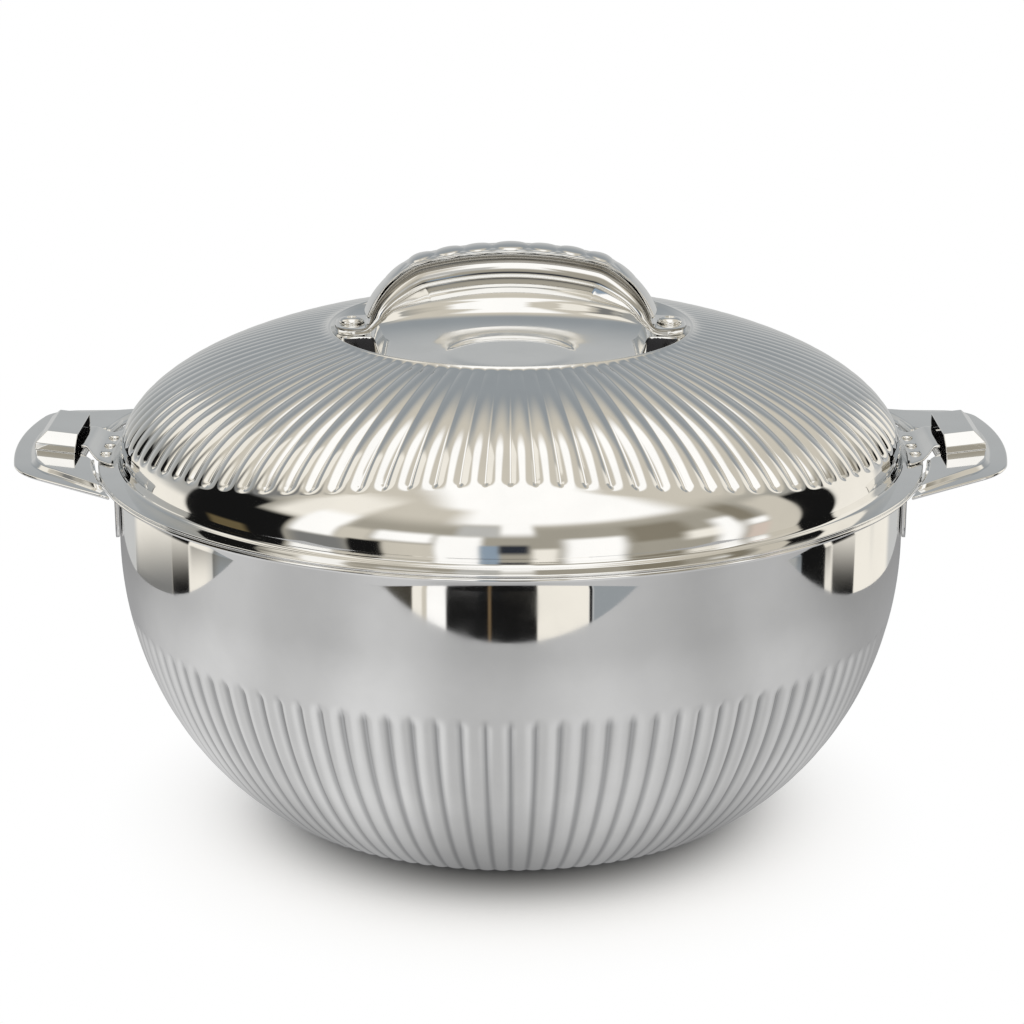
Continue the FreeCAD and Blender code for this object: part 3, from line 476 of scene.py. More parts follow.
def skin(name, blocks, body, finish, even=False, ends=False):
    """A mesh from one or more blocks of rings in millimetres, with flat ends where ends is set."""
    points, faces, first = [], [], 0
    for rings in (blocks if isinstance(blocks, list) else [blocks]):
        rows, columns = rings.shape[:2]
        spot = first + np.arange(rows * columns).reshape(rows, columns)
        after = np.roll(spot, -1, 1)
        faces += np.stack([spot[:-1], after[:-1], after[1:], spot[1:]], -1).reshape(-1, 4).tolist()
        if ends:
            faces += [spot[0].tolist(), spot[-1][::-1].tolist()]
        points += rings.reshape(-1, 3).tolist()
        first += rows * columns
    made = mesh_object(name, points, faces)
    mesh = made.data
    work = bmesh.new()
    work.from_mesh(mesh)
    bmesh.ops.remove_doubles(work, verts=work.verts, dist=1e-6)
    bmesh.ops.recalc_face_normals(work, faces=work.faces)
    work.to_mesh(mesh)
    work.free()
    mesh.shade_smooth()
    mesh.materials.append(finish)
    if even:
        even_out(made)
    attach(made, body)
    return made


print("rings can be joined into a skin")

# %% [markdown]
# ## The pot's outer wall
# The wall is one sheet: straight at the top, then a quarter of an oval down to the foot. Below a
# soft line it is pressed into 108 upright ribs. A bump texture could fake the ribs, but their
# edges and their reflections would be wrong, so the ribs are real: each ring's radius is drawn in
# between neighbouring lobes.

# %% Shape the wall
WALL, TOP, REACH, DROP = 143.2, 98.0, 97.0, 112.0
RIB_FADE, RIB_DEPTH = 5.5, 1.4


def wall(level):
    """The wall's radius: straight above TOP, a quarter of an oval (REACH by DROP) below it."""
    below = np.clip((TOP - level) / DROP, 0, 1)
    return WALL - REACH * (1 - np.sqrt(1 - below ** 2))


def lobes(turn, count):
    """0 on a lobe's crown and 1 in the groove between two lobes, rounded like a drop of water."""
    across = 2 * ((turn * count / (2 * math.pi)) % 1.0) - 1
    return across ** 2


def smooth(x):
    """Rises from 0 to 1 with no corner at either end."""
    x = np.clip(x, 0, 1)
    return x * x * (3 - 2 * x)


print("the wall's radius at its foot:", round(float(wall(0)), 1), "mm")

# %% Press the ribs
POINTS_PER_RIB = 14
columns = RIBS * POINTS_PER_RIB
turn = np.linspace(0, 2 * math.pi, columns, endpoint=False)
level = np.concatenate([np.linspace(1.2, 60, 34), np.linspace(61, 80, 39), np.linspace(82, 119.2, 14)])
depth = RIB_DEPTH * smooth((RIB_TOP - level) / RIB_FADE) * wall(level) / WALL
radius = wall(level)[:, None] - depth[:, None] * lobes(turn, RIBS)
outside = ringed(radius, level[:, None], turn)
print("rings of the ribbed wall:", len(outside))

# %% [markdown]
# At the top the sheet turns out under the bowl's rim in a small cove, and its inner face runs back
# down a little inside the grooves, so the wall is a closed skin with a real thickness.

# %% Build the wall
neck = rounded([(WALL, 119.3, 0), (WALL, 124.4, 4.6), (148.2, 124.4, 0), (148.2, 125.1, 0),
                (140.9, 125.1, 0)], 8)
inside = np.array([(140.9, 98), (136, 66), (127, 42), (118, 28), (106, 15), (86.3, 3.4), (86.3, 1.2)])
rings = np.concatenate([outside, lathe(neck, columns), lathe(inside, columns), outside[:1]])
pot_wall = skin("pot_wall", rings, "pot", pressed)
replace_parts(pot_wall, "outer_shell")
print("pot wall faces:", len(pot_wall.data.polygons))

# %% [markdown]
# ## The bowl and its rolled rim
# The bowl is deep-drawn and its edge is rolled over the outer wall, so the rim ends in a round bead.

# %% Build the bowl
RIM, BEAD, BEAD_LEVEL = 150, 0.9, 125.1
BOWL, BOWL_FLOOR, BOWL_BEND, BOWL_SHEET = 132.5, 15, 74, 0.8


def quarter(bend, angles):
    """The round corner between the bowl's floor and its wall, with bend as its radius."""
    middle = (BOWL - BOWL_BEND, BOWL_FLOOR + BOWL_BEND)
    turn = np.radians(angles)
    return [(middle[0] + bend * math.sin(a), middle[1] - bend * math.cos(a)) for a in turn]


turn = np.radians(range(90, -181, -18))
bead = [(RIM - BEAD + BEAD * math.cos(a), BEAD_LEVEL + BEAD * math.sin(a)) for a in turn]
path = [(0, BOWL_FLOOR), (30, BOWL_FLOOR)] + quarter(BOWL_BEND, range(0, 91, 5))
path += [(BOWL, 100), (BOWL, 124.6), (132.9, 125.7), (134, 126), (140, 126)] + bead
back_wall = [(148.3, 125.2), (133.4, 125.2), (BOWL + BOWL_SHEET, 124), (BOWL + BOWL_SHEET, 89)]
back_wall += quarter(BOWL_BEND + BOWL_SHEET, range(90, -1, -10)) + [(0, BOWL_FLOOR - BOWL_SHEET)]
bowl = skin("bowl_and_rim", lathe(np.array(path + back_wall), 360), "pot", mirror, even=True)
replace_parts(bowl, "inner_bowl")
print("bowl faces:", len(bowl.data.polygons))

# %% [markdown]
# ## The lid's outer shell
# From the flange a small cove turns up into a plain band, then a hundred flutes run up to the round
# dish. The flutes end in short rounded tips, and the line of tips sinks towards the two handles.
# They are pressed in along the surface, so each point moves along the dome's own normal and not
# straight inwards. The rows of points follow the line of tips, so every tip is equally fine.

# %% Shape the dome
FLUTES, FADE, FLUTE_DEPTH = 100, 3.4, 1.35
BASE, SPAN, RISE, SPRING = 142.0, 130.7, 48.0, 130.0
DISH_EDGE = 65.3


def dome(angle):
    """Point and outward normal of the smooth dome, from the angle above its widest ring."""
    turn = np.radians(angle)
    point = np.stack([BASE - SPAN + SPAN * np.cos(turn), SPRING + RISE * np.sin(turn)], -1)
    normal = np.stack([np.cos(turn) / SPAN, np.sin(turn) / RISE], -1)
    return point, normal / np.linalg.norm(normal, axis=-1, keepdims=True)


edge_angle = math.degrees(math.acos((DISH_EDGE + 1.3 - BASE + SPAN) / SPAN))
print("the dome ends", round(edge_angle, 1), "degrees above its widest ring")

# %% Lay the rings of the dome
POINTS_PER_FLUTE = 14
columns = FLUTES * POINTS_PER_FLUTE
turn = np.linspace(0, 2 * math.pi, columns, endpoint=False)
TIP_AT_HANDLE, TIP_RISE = 7.5, 16.5
full = FADE + 0.4
tip = TIP_AT_HANDLE + TIP_RISE * np.sin(turn) ** 4
share = np.concatenate([np.linspace(0, 0.93, 9), np.linspace(0.96, 1, 3)])[:, None]
fade = np.linspace(0.15, full, 24)[:, None]
above = np.linspace(0.02, 1, 42)[:, None]
angle = np.concatenate([tip * share, tip + fade, tip + full + above * (edge_angle - tip - full)])
print("dome rings:", len(angle))

# %% [markdown]
# A flute is deepest just above its tip and gets shallower towards the dish, where it runs out.

# %% Press the flutes
SHALLOWER, SHALLOW_OVER, RUN_OUT = 0.45, 26, 1.5
point, normal = dome(angle)
depth = FLUTE_DEPTH * smooth((angle - tip) / FADE) * point[..., 0] / BASE
depth *= 1 - SHALLOWER * smooth((angle - tip - FADE) / SHALLOW_OVER)
depth *= 1 - smooth((angle - edge_angle + RUN_OUT) / RUN_OUT)
sunk = depth * lobes(turn, FLUTES)
radius = point[..., 0] - sunk * normal[..., 0]
level = point[..., 1] - sunk * normal[..., 1]
fluted = ringed(radius, level, turn)
print("flutes:", FLUTES)

# %% [markdown]
# The dish is a deep pan with a steep wall. Under each foot of the strap the pan keeps a raised seat,
# and the seat's flanks run out softly into the wall. A seat is a blend between two heights, so it
# needs no cut: the same rings of points carry both.


# %% Write the curve helper
def curve(points, count):
    """A smooth line (Catmull-Rom) through points, with count steps."""
    points = np.array(points, float)
    padded = np.concatenate([2 * points[:1] - points[1:2], points, 2 * points[-1:] - points[-2:-1]])
    place = np.linspace(0, len(points) - 1, count)
    index = np.minimum(place.astype(int), len(points) - 2)
    t = (place - index)[:, None]
    a, b, c, d = (padded[index + step] for step in range(4))
    square, cube = 2 * a - 5 * b + 4 * c - d, 3 * b - a - 3 * c + d
    return 0.5 * (2 * b + (c - a) * t + square * t ** 2 + cube * t ** 3)


print("a line can be drawn through a few points")

# %% Shape the dish
SEAT, SEAT_FROM, SEAT_HALF = 172.1, 45, 17
pan = curve([(66.3, 173.75), (65.8, 174.0), (65.2, 173.9), (64.6, 173.3), (63.6, 172.5), (61.4, 171.5),
             (59.0, 170.5), (57.8, 169.7), (56.9, 168.5), (55.8, 167.1), (53.8, 165.9), (50.5, 164.8),
             (46, 163.9), (41, 163.3), (35, 162.9), (29, 162.75), (25, 162.8), (23, 162.95), (21, 163.1),
             (18, 163.15), (9, 163.1), (0, 163.05)], 120)
radius, level = pan[:, 0][:, None], pan[:, 1][:, None]
x, y = np.abs(radius * np.cos(turn)), np.abs(radius * np.sin(turn))
seat = smooth((x - SEAT_FROM) / 5) * smooth((SEAT_HALF - y) / 4)
level = level + seat * np.maximum(SEAT - level, 0)
dish = ringed(radius, level, turn)
print("dish depth", round(float(np.ptp(pan[:, 1])), 2), "mm")

# %% Build the flange and join the lid's skin
flange = rounded([(132.8, 126.05, 0), (RIM, 126.05, 0.45), (RIM, 127, 0.45), (BASE, 127, 2.4),
                  (BASE, 129.9, 0)], 7)
under = np.array([(0, 161.9), (50, 161.8), (57, 167.2), (64, 170.5), (98, 160), (126, 146), (132.7, 136),
                  (132.8, 126.05)])
rings = np.concatenate([lathe(flange, columns), fluted, dish, lathe(under, columns)])
lid_shell = skin("lid_shell", rings, "lid", mirror)
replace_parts(lid_shell, "lid_outer_shell")
print("lid faces:", len(lid_shell.data.polygons))

# %% [markdown]
# The corners round the seats get painted shade, a dark and rough steel. The faces there are picked
# by their place and get it as a second material.

# %% Paint shade into the corners round the seats
PAINTED_SHADE_BOX = np.array([(48.5, 62), (12.3, 18), (163, 171.7)])
# Painted shade: a near-black steel for the corners round the seats and the caps' insides.
painted_shade = steel("painted_shade_steel", (0.05, 0.05, 0.055), 0.45, 0.6, 0.1, 140.0)
lid_shell.data.materials.append(painted_shade)
darkened = 0
for face in lid_shell.data.polygons:
    place = np.abs(face.center) / MM
    if np.all((place > PAINTED_SHADE_BOX[:, 0]) & (place < PAINTED_SHADE_BOX[:, 1])):
        face.material_index = 1
        darkened += 1
print("dull faces:", darkened)

# %% [markdown]
# ## The carrying strap
# The strap is one strip of steel. Its two feet lie flat on the seats, bend up into legs and meet in
# an arch, where its sides are folded down into a deep channel with a rolled bead. A curve with a
# bevel would keep one section all along, so the strap is a sweep instead: a line seen from the
# front, and three sections (foot, leg and crown) that are blended along it.


# %% Draw the line of the strap
def arc(a, b, c, steps):
    """Points on the circle through a, b and c, from a to c."""
    a, b, c = (np.array(p, float) for p in (a, b, c))
    sides = np.array((b - c, c - a, a - b))
    squares = np.array((a @ a, b @ b, c @ c))
    area = np.array((a[0], b[0], c[0])) @ sides[:, 1]
    middle = np.array((squares @ sides[:, 1], -(squares @ sides[:, 0]))) / (2 * area)
    first, last = (math.atan2(*(p - middle)[::-1]) for p in (a, c))
    swing = (last - first + math.pi) % (2 * math.pi) - math.pi
    place = first + swing * np.linspace(0, 1, steps)
    return middle + np.linalg.norm(a - middle) * np.stack([np.cos(place), np.sin(place)], -1)


def along(line):
    """How far each point of a line is from its first one, measured along the line."""
    return np.concatenate([[0], np.cumsum(np.linalg.norm(np.diff(line, axis=0), axis=1))])


def even_line(points, step, blur):
    """The same line with even steps, its corners softened by blurring it blur times."""
    span = along(points)
    count = int(round(span[-1] / step)) + 1
    place = np.linspace(0, span[-1], count)
    line = np.stack([np.interp(place, span, points[:, k]) for k in (0, 1)], -1)
    ends = line[[0, -1]].copy()
    for _ in range(blur):
        line[1:-1] = 0.25 * line[:-2] + 0.5 * line[1:-1] + 0.25 * line[2:]
    line[[0, -1]] = ends
    return line


print("arcs and even lines are ready")

# %% [markdown]
# The line itself is a half arch and its mirror image. From the foot it leans in a little, turns over
# the shoulder and crosses the crown in one wide arc. The strap lies just inside its cover's line.

# %% Draw the half arch
HALF_FOOT, HALF_GRIP, STRAP_RISE = 53.0, 34.5, 31.8
LEG_RISE, CROWN_OVER = 7, 20


def half_arch(inset):
    """The right half of the grip's line from seat to crown, drawn in by inset."""
    grip = (HALF_GRIP - 0.4 * inset, SEAT + STRAP_RISE - 4.5 - 0.9 * inset)
    shoulder = (HALF_FOOT - 5.6 - 0.8 * inset, SEAT + 17 - 0.6 * inset)
    side = arc((HALF_FOOT - inset, SEAT + LEG_RISE), shoulder, grip, 24)
    crown = arc(grip, (0, SEAT + STRAP_RISE - inset), (-grip[0], grip[1]), 49)[:25]
    return np.concatenate([side, crown[1:]])


def whole(half):
    """A half line and its mirror image."""
    return np.concatenate([half, (half * (-1, 1))[::-1][1:]])


def crown_share(line):
    """0 at the strap's legs and 1 at its crown."""
    return smooth((line[:, 1] - SEAT - LEG_RISE) / CROWN_OVER)


def normals(line):
    """The outward direction at each point of a line."""
    ahead = np.gradient(line, axis=0)
    ahead /= np.linalg.norm(ahead, axis=1, keepdims=True)
    return np.stack([ahead[:, 1], -ahead[:, 0]], -1)


def sweep(line, section):
    """Rings from a line seen from the front and one (across, down) section for each of its points."""
    place = line[:, None, :] - normals(line)[:, None, :] * section[..., 1:]
    return np.stack([place[..., 0], section[..., 0], place[..., 1]], -1)


print("strap stands", STRAP_RISE, "mm over its seats")

# %% [markdown]
# Each section below is the right half of the strip, from the middle of its top round to the middle
# of its underside, as (across, down) pairs. All three have the same number of points.

# %% Write the strap's sections
CROWN = [(0, 0.2), (5, 0.2), (7.6, 0.2), (7.9, 0.5), (7.7, 0.9), (7.2, 1.4), (7.0, 2.0), (7.2, 2.8),
         (7.7, 3.4), (8.4, 4.2), (8.9, 5.3), (9.2, 6.6), (9.2, 7.5), (8.9, 8.0), (8.5, 8.25), (8.6, 8.5),
         (8.7, 8.9), (8.7, 11.0), (8.5, 13.6), (8.1, 14.2), (7.6, 14.3), (7.4, 13.6), (7.3, 7), (6.3, 3.2),
         (0, 2.9)]
LEG = [(0, -0.8), (5, -0.7), (10.2, 0.1), (10.8, 0.35), (10.7, 0.6), (10.4, 0.8), (10.4, 1.0), (10.8, 1.2),
       (11.4, 1.5), (12.0, 2.0), (12.3, 2.6), (12.3, 3.4), (12.2, 4.1), (11.9, 4.5), (11.5, 4.7),
       (11.4, 4.8), (11.4, 4.9), (11.3, 5.1), (11.1, 5.4), (10.8, 5.5), (10.4, 5.4), (10.0, 5.0),
       (9.6, 4.4), (8.4, 3.2), (0, 2.8)]
FOOT = [(0, 0), (6, 0), (11.2, 0), (11.6, 0.03), (11.9, 0.1), (12.15, 0.2), (12.3, 0.35), (12.4, 0.5),
        (12.45, 0.65), (12.5, 0.8), (12.5, 0.95), (12.5, 1.1), (12.5, 1.25), (12.5, 1.4), (12.5, 1.55),
        (12.5, 1.7), (12.45, 1.85), (12.4, 2.0), (12.3, 2.15), (12.15, 2.28), (11.9, 2.36), (11.4, 2.4),
        (9.8, 2.4), (6, 2.4), (0, 2.4)]
CROWN, LEG, FOOT = (np.array(part, float) for part in (CROWN, LEG, FOOT))
print("points in a half section:", len(CROWN), len(LEG), len(FOOT))

# %% Blend the sections along the line
UNDER_COVER, TAB_TIP, FOOT_THICK = 2.6, 63.4, 2.4
TAB_HALF, TAB_CORNER, NO_CORNER = 12.5, 8.0, 40
leg_line = half_arch(UNDER_COVER)
foot_top = SEAT + FOOT_THICK
bend = (HALF_FOOT - UNDER_COVER, foot_top, 4.5)
foot_line = rounded([(TAB_TIP, foot_top, 0), bend, (*leg_line[0], 0)], 9)
line = even_line(whole(np.concatenate([foot_line, leg_line[1:]])), 0.9, 6)
foot = smooth((SEAT + 7.5 - line[:, 1]) / 4.5)[:, None, None]
crown = crown_share(line)[:, None, None]
half = FOOT * foot + (1 - foot) * (CROWN * crown + LEG * (1 - crown))
print("stations along the strap:", len(line))

# %% Round the tips of the feet
tip_gap = TAB_TIP - np.abs(line[:, 0])
tip_gap[np.abs(line[:, 0]) < 52] = NO_CORNER
rounding = TAB_CORNER - np.sqrt(np.maximum(TAB_CORNER ** 2 - (TAB_CORNER - tip_gap) ** 2, 0))
width = np.where(tip_gap < TAB_CORNER, TAB_HALF - rounding, TAB_HALF)
half[..., 0] *= (width / TAB_HALF)[:, None]
section = np.concatenate([half, (half * (-1, 1))[:, -2:0:-1]], 1)
strap = skin("strap_channel", sweep(line, section), "lid", mirror, even=True, ends=True)
print("narrowest ring of the strap:", round(float(width.min()), 2), "mm")

# %% [markdown]
# The cove under the cover's edge gets painted shade, a darker and rougher steel. Its faces are
# counted round the section, the same way on both sides.

# %% Darken the cove
COVE = range(3, 8)
# Painted shade: the cove's steel is darker.
cove_shade_steel = steel("painted_cove_shade_steel", (0.36, 0.345, 0.315), 0.12, 0.25, 0.05, 90.0)
strap.data.materials.append(cove_shade_steel)
columns = section.shape[1]
for face in strap.data.polygons[:-2]:
    column = face.index % columns
    if min(column, columns - 1 - column) in COVE:
        face.material_index = 1
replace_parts(strap, "lid_handle_strap")
print("strap faces:", len(strap.data.polygons))

# %% [markdown]
# ## The strap's cover
# The grip's top is a second, convex strip, pressed over the channel like a row of knuckles. Its low
# edge is scalloped with the same spacing. The knuckles are added to the sweep's height as round
# bumps, which is quicker and cleaner than sculpting them.

# %% Shape the knuckles
line = even_line(whole(half_arch(0.0)), 0.6, 8)
run = along(line) - along(line)[-1] / 2
crown = crown_share(line)
KNUCKLES = [  # distance from the middle, half length and strength
    (0, 6.6, 1.0),
    (12.0, 5.6, 0.8),
    (22.6, 5.4, 0.95),
    (33.4, 5.4, 0.85),
    (44.0, 5.4, 0.45),
]
across = np.linspace(-1, 1, 29)
bump = np.zeros((len(line), len(across)))
scallop = np.zeros(len(line))
for at, reach, strength in KNUCKLES:
    for side in (1, -1):
        near = (run - side * at) / reach
        round_part = 1 - near[:, None] ** 2 - (across[None, :] / 0.85) ** 2
        bump = np.maximum(bump, strength * np.sqrt(np.clip(round_part, 0, None)))
        scallop = np.maximum(scallop, strength * np.clip(1 - near ** 2, 0, None))
print("knuckles:", 2 * len(KNUCKLES) - 1)

# %% [markdown]
# Each section of the cover is its top line, a rolled edge and a short inner lip on both sides.

# %% Shape the cover's sections
half_width = 10.6 - 2.4 * crown
fall = np.abs(across)[None, :] ** 2.2 * (1.7 - 1.0 * crown)[:, None]
top = fall + (1.15 * crown)[:, None] * (1 - bump)
thick = 2.7 - 0.8 * crown
edge = thick + 0.9 * crown * scallop
rows = []
for index in range(len(line)):
    w, low, high = half_width[index], edge[index], thick[index]
    upper = [(w * a, h) for a, h in zip(across, top[index])]
    right = [(w + 0.05, 0.5 * (top[index, -1] + low)), (w - 0.1, low - 0.15), (w - 0.45, low),
             (w - 0.9, low - 0.25)]
    inner = [(w - 1.3, high - 0.35), (w - 2.4, high - 0.6)]
    rows.append(upper + right + inner + [(-a, h) for a, h in (right + inner)[::-1]])
print("points in a section of the cover:", len(rows[0]))

# %% Sweep the cover
cover = skin("strap_cover", sweep(line, np.array(rows)), "lid", mirror, even=True, ends=True)
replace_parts(cover, "lid_handle_cover")
print("cover faces:", len(cover.data.polygons))

# %% [markdown]
# ## The strap's screws
# A low domed head with a six-sided socket holds each foot. The head is turned, and the radius of
# the socket's rings follows a hexagon.


# %% Build the screws
SCREW_X = 57.6
HEAD = [  # radius, height over the foot's top, and 1 where the ring is six-sided
    (0.1, -8.3, 0), (1.95, -8.3, 0), (1.95, 0, 0), (4.5, 0.02, 0), (4.6, 0.5, 0), (4.35, 0.95, 0),
    (3.8, 1.4, 0), (3.1, 1.75, 0), (2.5, 1.93, 0), (2.2, 1.95, 1), (1.9, 1.8, 1), (1.85, 0.9, 1),
    (0.1, 0.75, 1),
]


def socket_screw(name, x):
    turn = np.linspace(0, 2 * math.pi, 48, endpoint=False)
    sixth = math.pi / 3
    hexagon = math.cos(sixth / 2) / np.cos((turn + sixth / 2) % sixth - sixth / 2)
    rings = [ringed(radius * (hexagon if six_sided else 1 + 0 * turn), SEAT + FOOT_THICK + level, turn)
             for radius, level, six_sided in HEAD]
    made = skin(name, np.array(rings) + (x, 0, 0), "lid", mirror, even=True, ends=True)
    return made


for side, x in (("left", -SCREW_X), ("right", SCREW_X)):
    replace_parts(socket_screw(side + "_socket_screw", x), side + "_strap_screw")
print("two socket screws")

# %% [markdown]
# ## The side handles
# Each handle is a pressed plate: a flat border, a short slanted step and a raised platform with a
# notch towards the lid. Two welded legs hold it to the wall. A plate like this is easiest as a stack
# of outlines: every outline has the same points, drawn in a little further than the one before, and
# the skin between them gives rounded edges for free. The handles lean up towards their tips.

# %% Draw the outline of a handle
LEAN = math.atan(0.12)
PIVOT = np.array((151.3, 126.4))
PLATE_REACH, PLATE_ROOT = 180.0, 60.0
TIP_HALF, KNEE_HALF, MOUTH_HALF, NOTCH_FLOOR, NOTCH_HALF = 31.5, 47.5, 21.2, 154.4, 15.5


def leaned(points, side):
    """Points of the right handle, turned about its inner edge and set on one side of the pot."""
    x, z = points[..., 0] - PIVOT[0], points[..., 2] - PIVOT[1]
    turned = np.stack([PIVOT[0] + x * math.cos(LEAN) - z * math.sin(LEAN), points[..., 1],
                       PIVOT[1] + z * math.cos(LEAN) + x * math.sin(LEAN)], -1)
    return turned * (side, side, 1)


def outline(inset, edge, notch):
    """The plate's outline: inset from its free edges, an inner edge and how far the notch has grown."""
    corner = (PLATE_REACH - 3 - inset, TIP_HALF - 0.6 * inset)
    tip = arc(corner * np.array((1, -1)), (PLATE_REACH - inset, 0), corner, 41)[20:]
    knee = (PLATE_REACH - 15 - 0.6 * inset, KNEE_HALF - inset)
    bend = arc(corner, (PLATE_REACH - 7 - 0.85 * inset, 41.1 - 0.8 * inset), knee, 13)
    root = (math.sqrt(edge ** 2 - (PLATE_ROOT - inset) ** 2), PLATE_ROOT - inset)
    high = np.linspace(PLATE_ROOT - inset, MOUTH_HALF + 0.9 * notch, 9)
    inner = np.stack([np.sqrt(edge ** 2 - high ** 2), high], -1)
    floor = (NOTCH_FLOOR + notch, NOTCH_HALF + 0.6 * notch)
    parts = [tip, bend[1:], np.linspace(bend[-1], root, 7)[1:], inner[1:],
             np.linspace(inner[-1], floor, 6)[1:], np.linspace(floor, (floor[0], 0), 6)[1:]]
    half = np.concatenate(parts)
    return np.concatenate([half, (half * (1, -1))[::-1][1:-1]])


print("outline points:", len(outline(0, PIVOT[0], 0)))

# %% [markdown]
# The levels below go from the platform's underside down to the border, round its edge and up again
# to the platform's top.

# %% List the levels of a plate
LEVELS = [  # inset from the free edge, radius of the inner edge, growth of the notch, height
    (8.0, 153.9, 1.6, 128.1),
    (7.6, 153.7, 1.5, 128.0),
    (6.2, 152.4, 0.7, 126.9),
    (5.9, 152.1, 0.5, 126.5),
    (0.5, 151.6, 0.2, 126.4),
    (0.15, 151.4, 0.05, 126.55),
    (0.0, 151.3, 0.0, 126.9),
    (0.0, 151.3, 0.0, 127.2),
    (0.15, 151.4, 0.05, 127.48),
    (0.5, 151.6, 0.2, 127.6),
    (5.2, 151.9, 0.4, 127.75),
    (5.6, 152.0, 0.5, 127.85),
    (5.9, 152.2, 0.6, 128.05),
    (6.7, 152.7, 0.9, 129.05),
    (7.0, 152.9, 1.1, 129.27),
    (7.5, 153.2, 1.4, 129.35),
]
print("levels of a plate:", len(LEVELS))

# %% [markdown]
# A leg is a strip bent down from the plate, welded along the wall, with a rounded lower end. It is
# curved with the wall, so each point across it is turned round the pot's axis.

# %% Write the leg's rings
LEG_REACH, LEG_END, LEG_ROUND, WALL_CURVE = 144.2, 101.5, 5.5, 147.0
LEG_SPANS = ((20.5, 34.5), (-34.5, -20.5))


def leg_rings(low, high):
    """One leg between two distances from the middle line."""
    path = rounded([(151.9, 128.6, 0), (151.9, 124.3, 2.5), (LEG_REACH, 117.3, 3),
                    (LEG_REACH, LEG_END, 0)], 7)
    path = np.concatenate([path[:-1], np.linspace(path[-2], path[-1], 12)[1:]])
    rings = []
    for point, normal in zip(path, normals(path)):
        left = max(LEG_END + LEG_ROUND - point[1], 0) / LEG_ROUND
        trim = (high - low) / 2 * (1 - math.sqrt(max(1 - left ** 2, 0.02)))
        a, b, bend = low + trim, high - trim, 0.22
        section = [(a, -0.3), (a + bend, -0.6), (b - bend, -0.6), (b, -0.3), (b, 0.3), (b - bend, 0.6),
                   (a + bend, 0.6), (a, 0.3)]
        ring = []
        for across, out in section:
            reach = point[0] + out * normal[0]
            turn = across / WALL_CURVE
            ring.append((reach * math.cos(turn), reach * math.sin(turn), point[1] + out * normal[1]))
        rings.append(ring)
    return np.array(rings)


print("rings of a leg:", len(leg_rings(*LEG_SPANS[0])))

# %% [markdown]
# The two slots in the platform, where the lock's keeper runs, are cut with a boolean. The cut is
# worked out once and the cutter is thrown away, so the handle stays a plain mesh.


# %% Write the slot cutter
BOX_FACES = np.array([(0, 1, 3, 2), (4, 6, 7, 5), (0, 4, 5, 1), (2, 3, 7, 6), (0, 2, 6, 4), (1, 5, 7, 3)])


def cut_boxes(target, boxes, side):
    """Cuts boxes, given as (x0, x1, y0, y1, z0, z1) in the plate's own lean, out of a plate."""
    points, faces = [], []
    for x0, x1, y0, y1, z0, z1 in boxes:
        faces += (BOX_FACES + len(points)).tolist()
        points += [(x, y, z) for x in (x0, x1) for y in (y0, y1) for z in (z0, z1)]
    cutter = mesh_object("cutter", leaned(np.array(points, float), side), faces)
    cut = target.modifiers.new("slots", "BOOLEAN")
    cut.object = cutter
    bpy.context.view_layer.update()
    done = bpy.data.meshes.new_from_object(target.evaluated_get(bpy.context.evaluated_depsgraph_get()))
    target.modifiers.clear()
    target.data = done
    bpy.data.objects.remove(cutter)


print("faces of the cutter's box:", len(BOX_FACES))

# %% Build both handles
SLOTS = [(158.6, 169.0, sign * 12.6, sign * 14.4, 127.5, 131) for sign in (1, -1)]
SIDES = ((1, "right"), (-1, "left"))
plate = np.array([[(x, y, level) for x, y in outline(inset, edge, notch)]
                  for inset, edge, notch, level in LEVELS])
for side, name in SIDES:
    blocks = [leaned(plate, side)]
    for low, high in LEG_SPANS:
        blocks.append(leg_rings(low, high) * (side, side, 1))
    made = skin(name + "_handle_plate", blocks, "pot", mirror, ends=True)
    cut_boxes(made, SLOTS, side)
    even_out(made)
    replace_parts(made, name + "_handle")
    print(made.name, "faces:", len(made.data.polygons))

# %% [markdown]
# ## The lock caps
# Each cap is folded from thin sheet: three upright walls, three slanted facets and a flat roof, open
# towards the rim. A solidify modifier gives the sheet its thickness and a bevel softens the folds.
# The inside gets painted shade, a dark and rough steel, so the mouth reads as a deep opening.

# %% Build the caps
CAP_MOUTH, CAP_BACK, CAP_HALF, CAP_BASE = 157.5, 172.0, 18.5, 129.4
CAP_FOLDS = [(0.0, 0.0), (0.1, 2.5), (3.5, 6.45)]  # inset from the foot's outline, height over the foot


def folded_cap(name, side):
    points = []
    for inset, rise in CAP_FOLDS:
        back, half, level = CAP_BACK - inset, CAP_HALF - inset, CAP_BASE + rise
        points += [(CAP_MOUTH, -half, level), (back, -half, level), (back, half, level),
                   (CAP_MOUTH, half, level)]
    faces = [(0, 1, 5, 4), (1, 2, 6, 5), (2, 3, 7, 6), (4, 5, 9, 8), (5, 6, 10, 9), (6, 7, 11, 10),
             (8, 9, 10, 11)]
    made = mesh_object(name, leaned(np.array(points), side), faces)
    made.data.shade_smooth()
    made.data.materials.append(mirror)
    # Painted shade for the cap's inside.
    made.data.materials.append(painted_shade)
    sheet = made.modifiers.new("sheet", "SOLIDIFY")
    sheet.thickness, sheet.offset = 0.7 * MM, -1
    sheet.material_offset, sheet.use_even_offset = 1, True
    folds = made.modifiers.new("folds", "BEVEL")
    folds.width, folds.segments, folds.angle_limit = 0.28 * MM, 3, math.radians(25)
    even_out(made)
    return made


for side, name in SIDES:
    cap = folded_cap(name + "_folded_cap", side)
    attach(cap, name + "_lock")
    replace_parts(cap, name + "_lock_cap")
print("two caps")

# %% [markdown]
# ## The tongues and their rivets
# A tongue is a bent tab on the lid's flange. It rises to just in front of the cap's mouth. Three
# domed rivets hold it, each one a turned button.

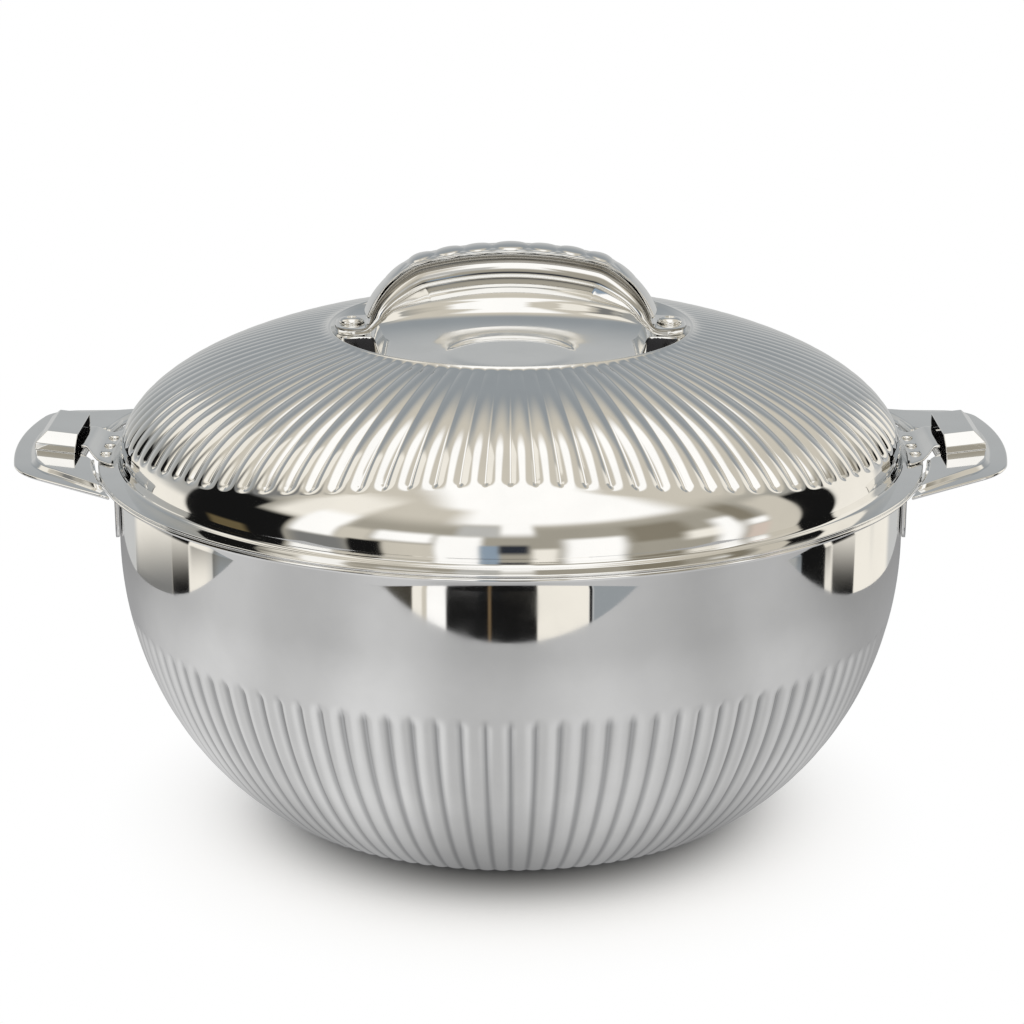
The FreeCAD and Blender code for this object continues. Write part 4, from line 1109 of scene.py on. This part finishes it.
# %% Build the tongues
STATIONS = [  # radius, height of the underside, half width, and how far the edge follows the flange
    (144.5, 127.05, 24.0, 1),
    (146.0, 127.05, 24.0, 1),
    (147.6, 127.05, 22.0, 0.9),
    (149.0, 127.1, 20.0, 0.7),
    (149.8, 127.4, 19.0, 0.6),
    (151.0, 128.4, 17.4, 0.4),
    (152.4, 129.9, 15.4, 0.15),
    (153.2, 130.6, 14.3, 0.05),
    (154.0, 130.93, 13.9, 0),
    (155.4, 130.95, 13.8, 0),
    (156.3, 130.95, 13.6, 0),
    (156.7, 130.98, 13.2, 0),
]
TONGUE_SHEET = 1.0


def tongue_rings(side):
    across = np.concatenate([[-1, -0.985], np.linspace(-0.95, 0.95, 17), [0.985, 1]])
    soft = np.array([0.4, 0.15] + [0.0] * 17 + [0.15, 0.4])
    rings = []
    for x, low, half, follow in STATIONS:
        sag = follow * (x - np.sqrt(x ** 2 - (across * half) ** 2))
        lower = np.stack([x - sag, across * half, low + soft], -1)
        upper = np.stack([x - sag, across * half, low + TONGUE_SHEET - soft], -1)
        rings.append(np.concatenate([lower, upper[::-1]]))
    return np.array(rings) * (side, side, 1)


for side, name in SIDES:
    tongue = skin(name + "_bent_tongue", tongue_rings(side), "lid", mirror, even=True, ends=True)
    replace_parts(tongue, name + "_tongue")
print("two tongues")

# %% Build the rivets
RIVET_RING, RIVET_PLACES = 147.0, (-11.0, 0.0, 11.0)
BUTTON = np.array([(0.05, 126.1), (1.0, 126.1), (1.0, 128.0), (2.15, 128.02), (2.24, 128.2), (2.15, 128.5),
                   (1.85, 128.85), (1.4, 129.08), (0.8, 129.22), (0.3, 129.27), (0.05, 129.28)])
for side, name in SIDES:
    for count, y in enumerate(RIVET_PLACES, 1):
        rings = (lathe(BUTTON, 32) + (RIVET_RING, y, 0)) * (side, side, 1)
        rivet = skin("%s_rivet_%d" % (name, count), rings, "lid", mirror, even=True, ends=True)
        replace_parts(rivet, "%s_tongue_rivet_%d" % (name, count))
print("six rivets")

# %% [markdown]
# ## Finishes for the CAD pieces that stay
# The foam, the plug under the lid, the base, the foot, the keepers and the nuts keep their CAD solids.
# Plastic is a plain shader with fine grain, foam has deep pores, and the hidden sheet is left satin.


# %% Write plastic and foam
def grained(name, colour, rough, scale, depth, dark):
    """A plain finish with noise for its grain: dark is the share of the colour left in the pores."""
    made = bpy.data.materials.new(name)
    made.use_nodes = True
    wires = Wires(made.node_tree)
    shader = made.node_tree.nodes["Principled BSDF"]
    place = wires.add("TexCoord").outputs["Object"]
    pores = wires.add("TexNoise", Vector=place, Scale=scale, Detail=6.0).outputs["Fac"]
    deep = tuple(dark * part for part in colour)
    tone = wires.mix(wires.ramp(pores, 0.35, 0.65), (*deep, 1), (*colour, 1))
    spread = wires.add("MapRange", _0=pores, _1=0.3, _2=0.7, _3=rough, _4=rough + 0.15).outputs[0]
    bump = wires.add("Bump", Height=pores, Strength=depth, Distance=MM)
    links = made.node_tree.links
    links.new(tone, shader.inputs["Base Color"])
    links.new(spread, shader.inputs["Roughness"])
    links.new(bump.outputs[0], shader.inputs["Normal"])
    return made


plastic = grained("foot_plastic", (0.045, 0.045, 0.05), 0.4, 900.0, 0.15, 0.8)
foam = grained("rigid_foam", (0.75, 0.68, 0.47), 0.8, 350.0, 0.6, 0.7)
satin = steel("satin_steel", (0.78, 0.78, 0.77), 0.22, 0.34, 0.05, 220.0)
print("finishes:", plastic.name, foam.name, satin.name)

# %% Give the remaining pieces a finish
for name, made in node.items():
    finish = mirror
    if "insulation" in name:
        finish = foam
    elif name == "foot_ring":
        finish = plastic
    elif name in ("base_cover", "lid_inner_shell") or "keeper" in name or "nut" in name:
        finish = satin
    made.data.materials.clear()
    made.data.materials.append(finish)
print("finishes on the CAD pieces")
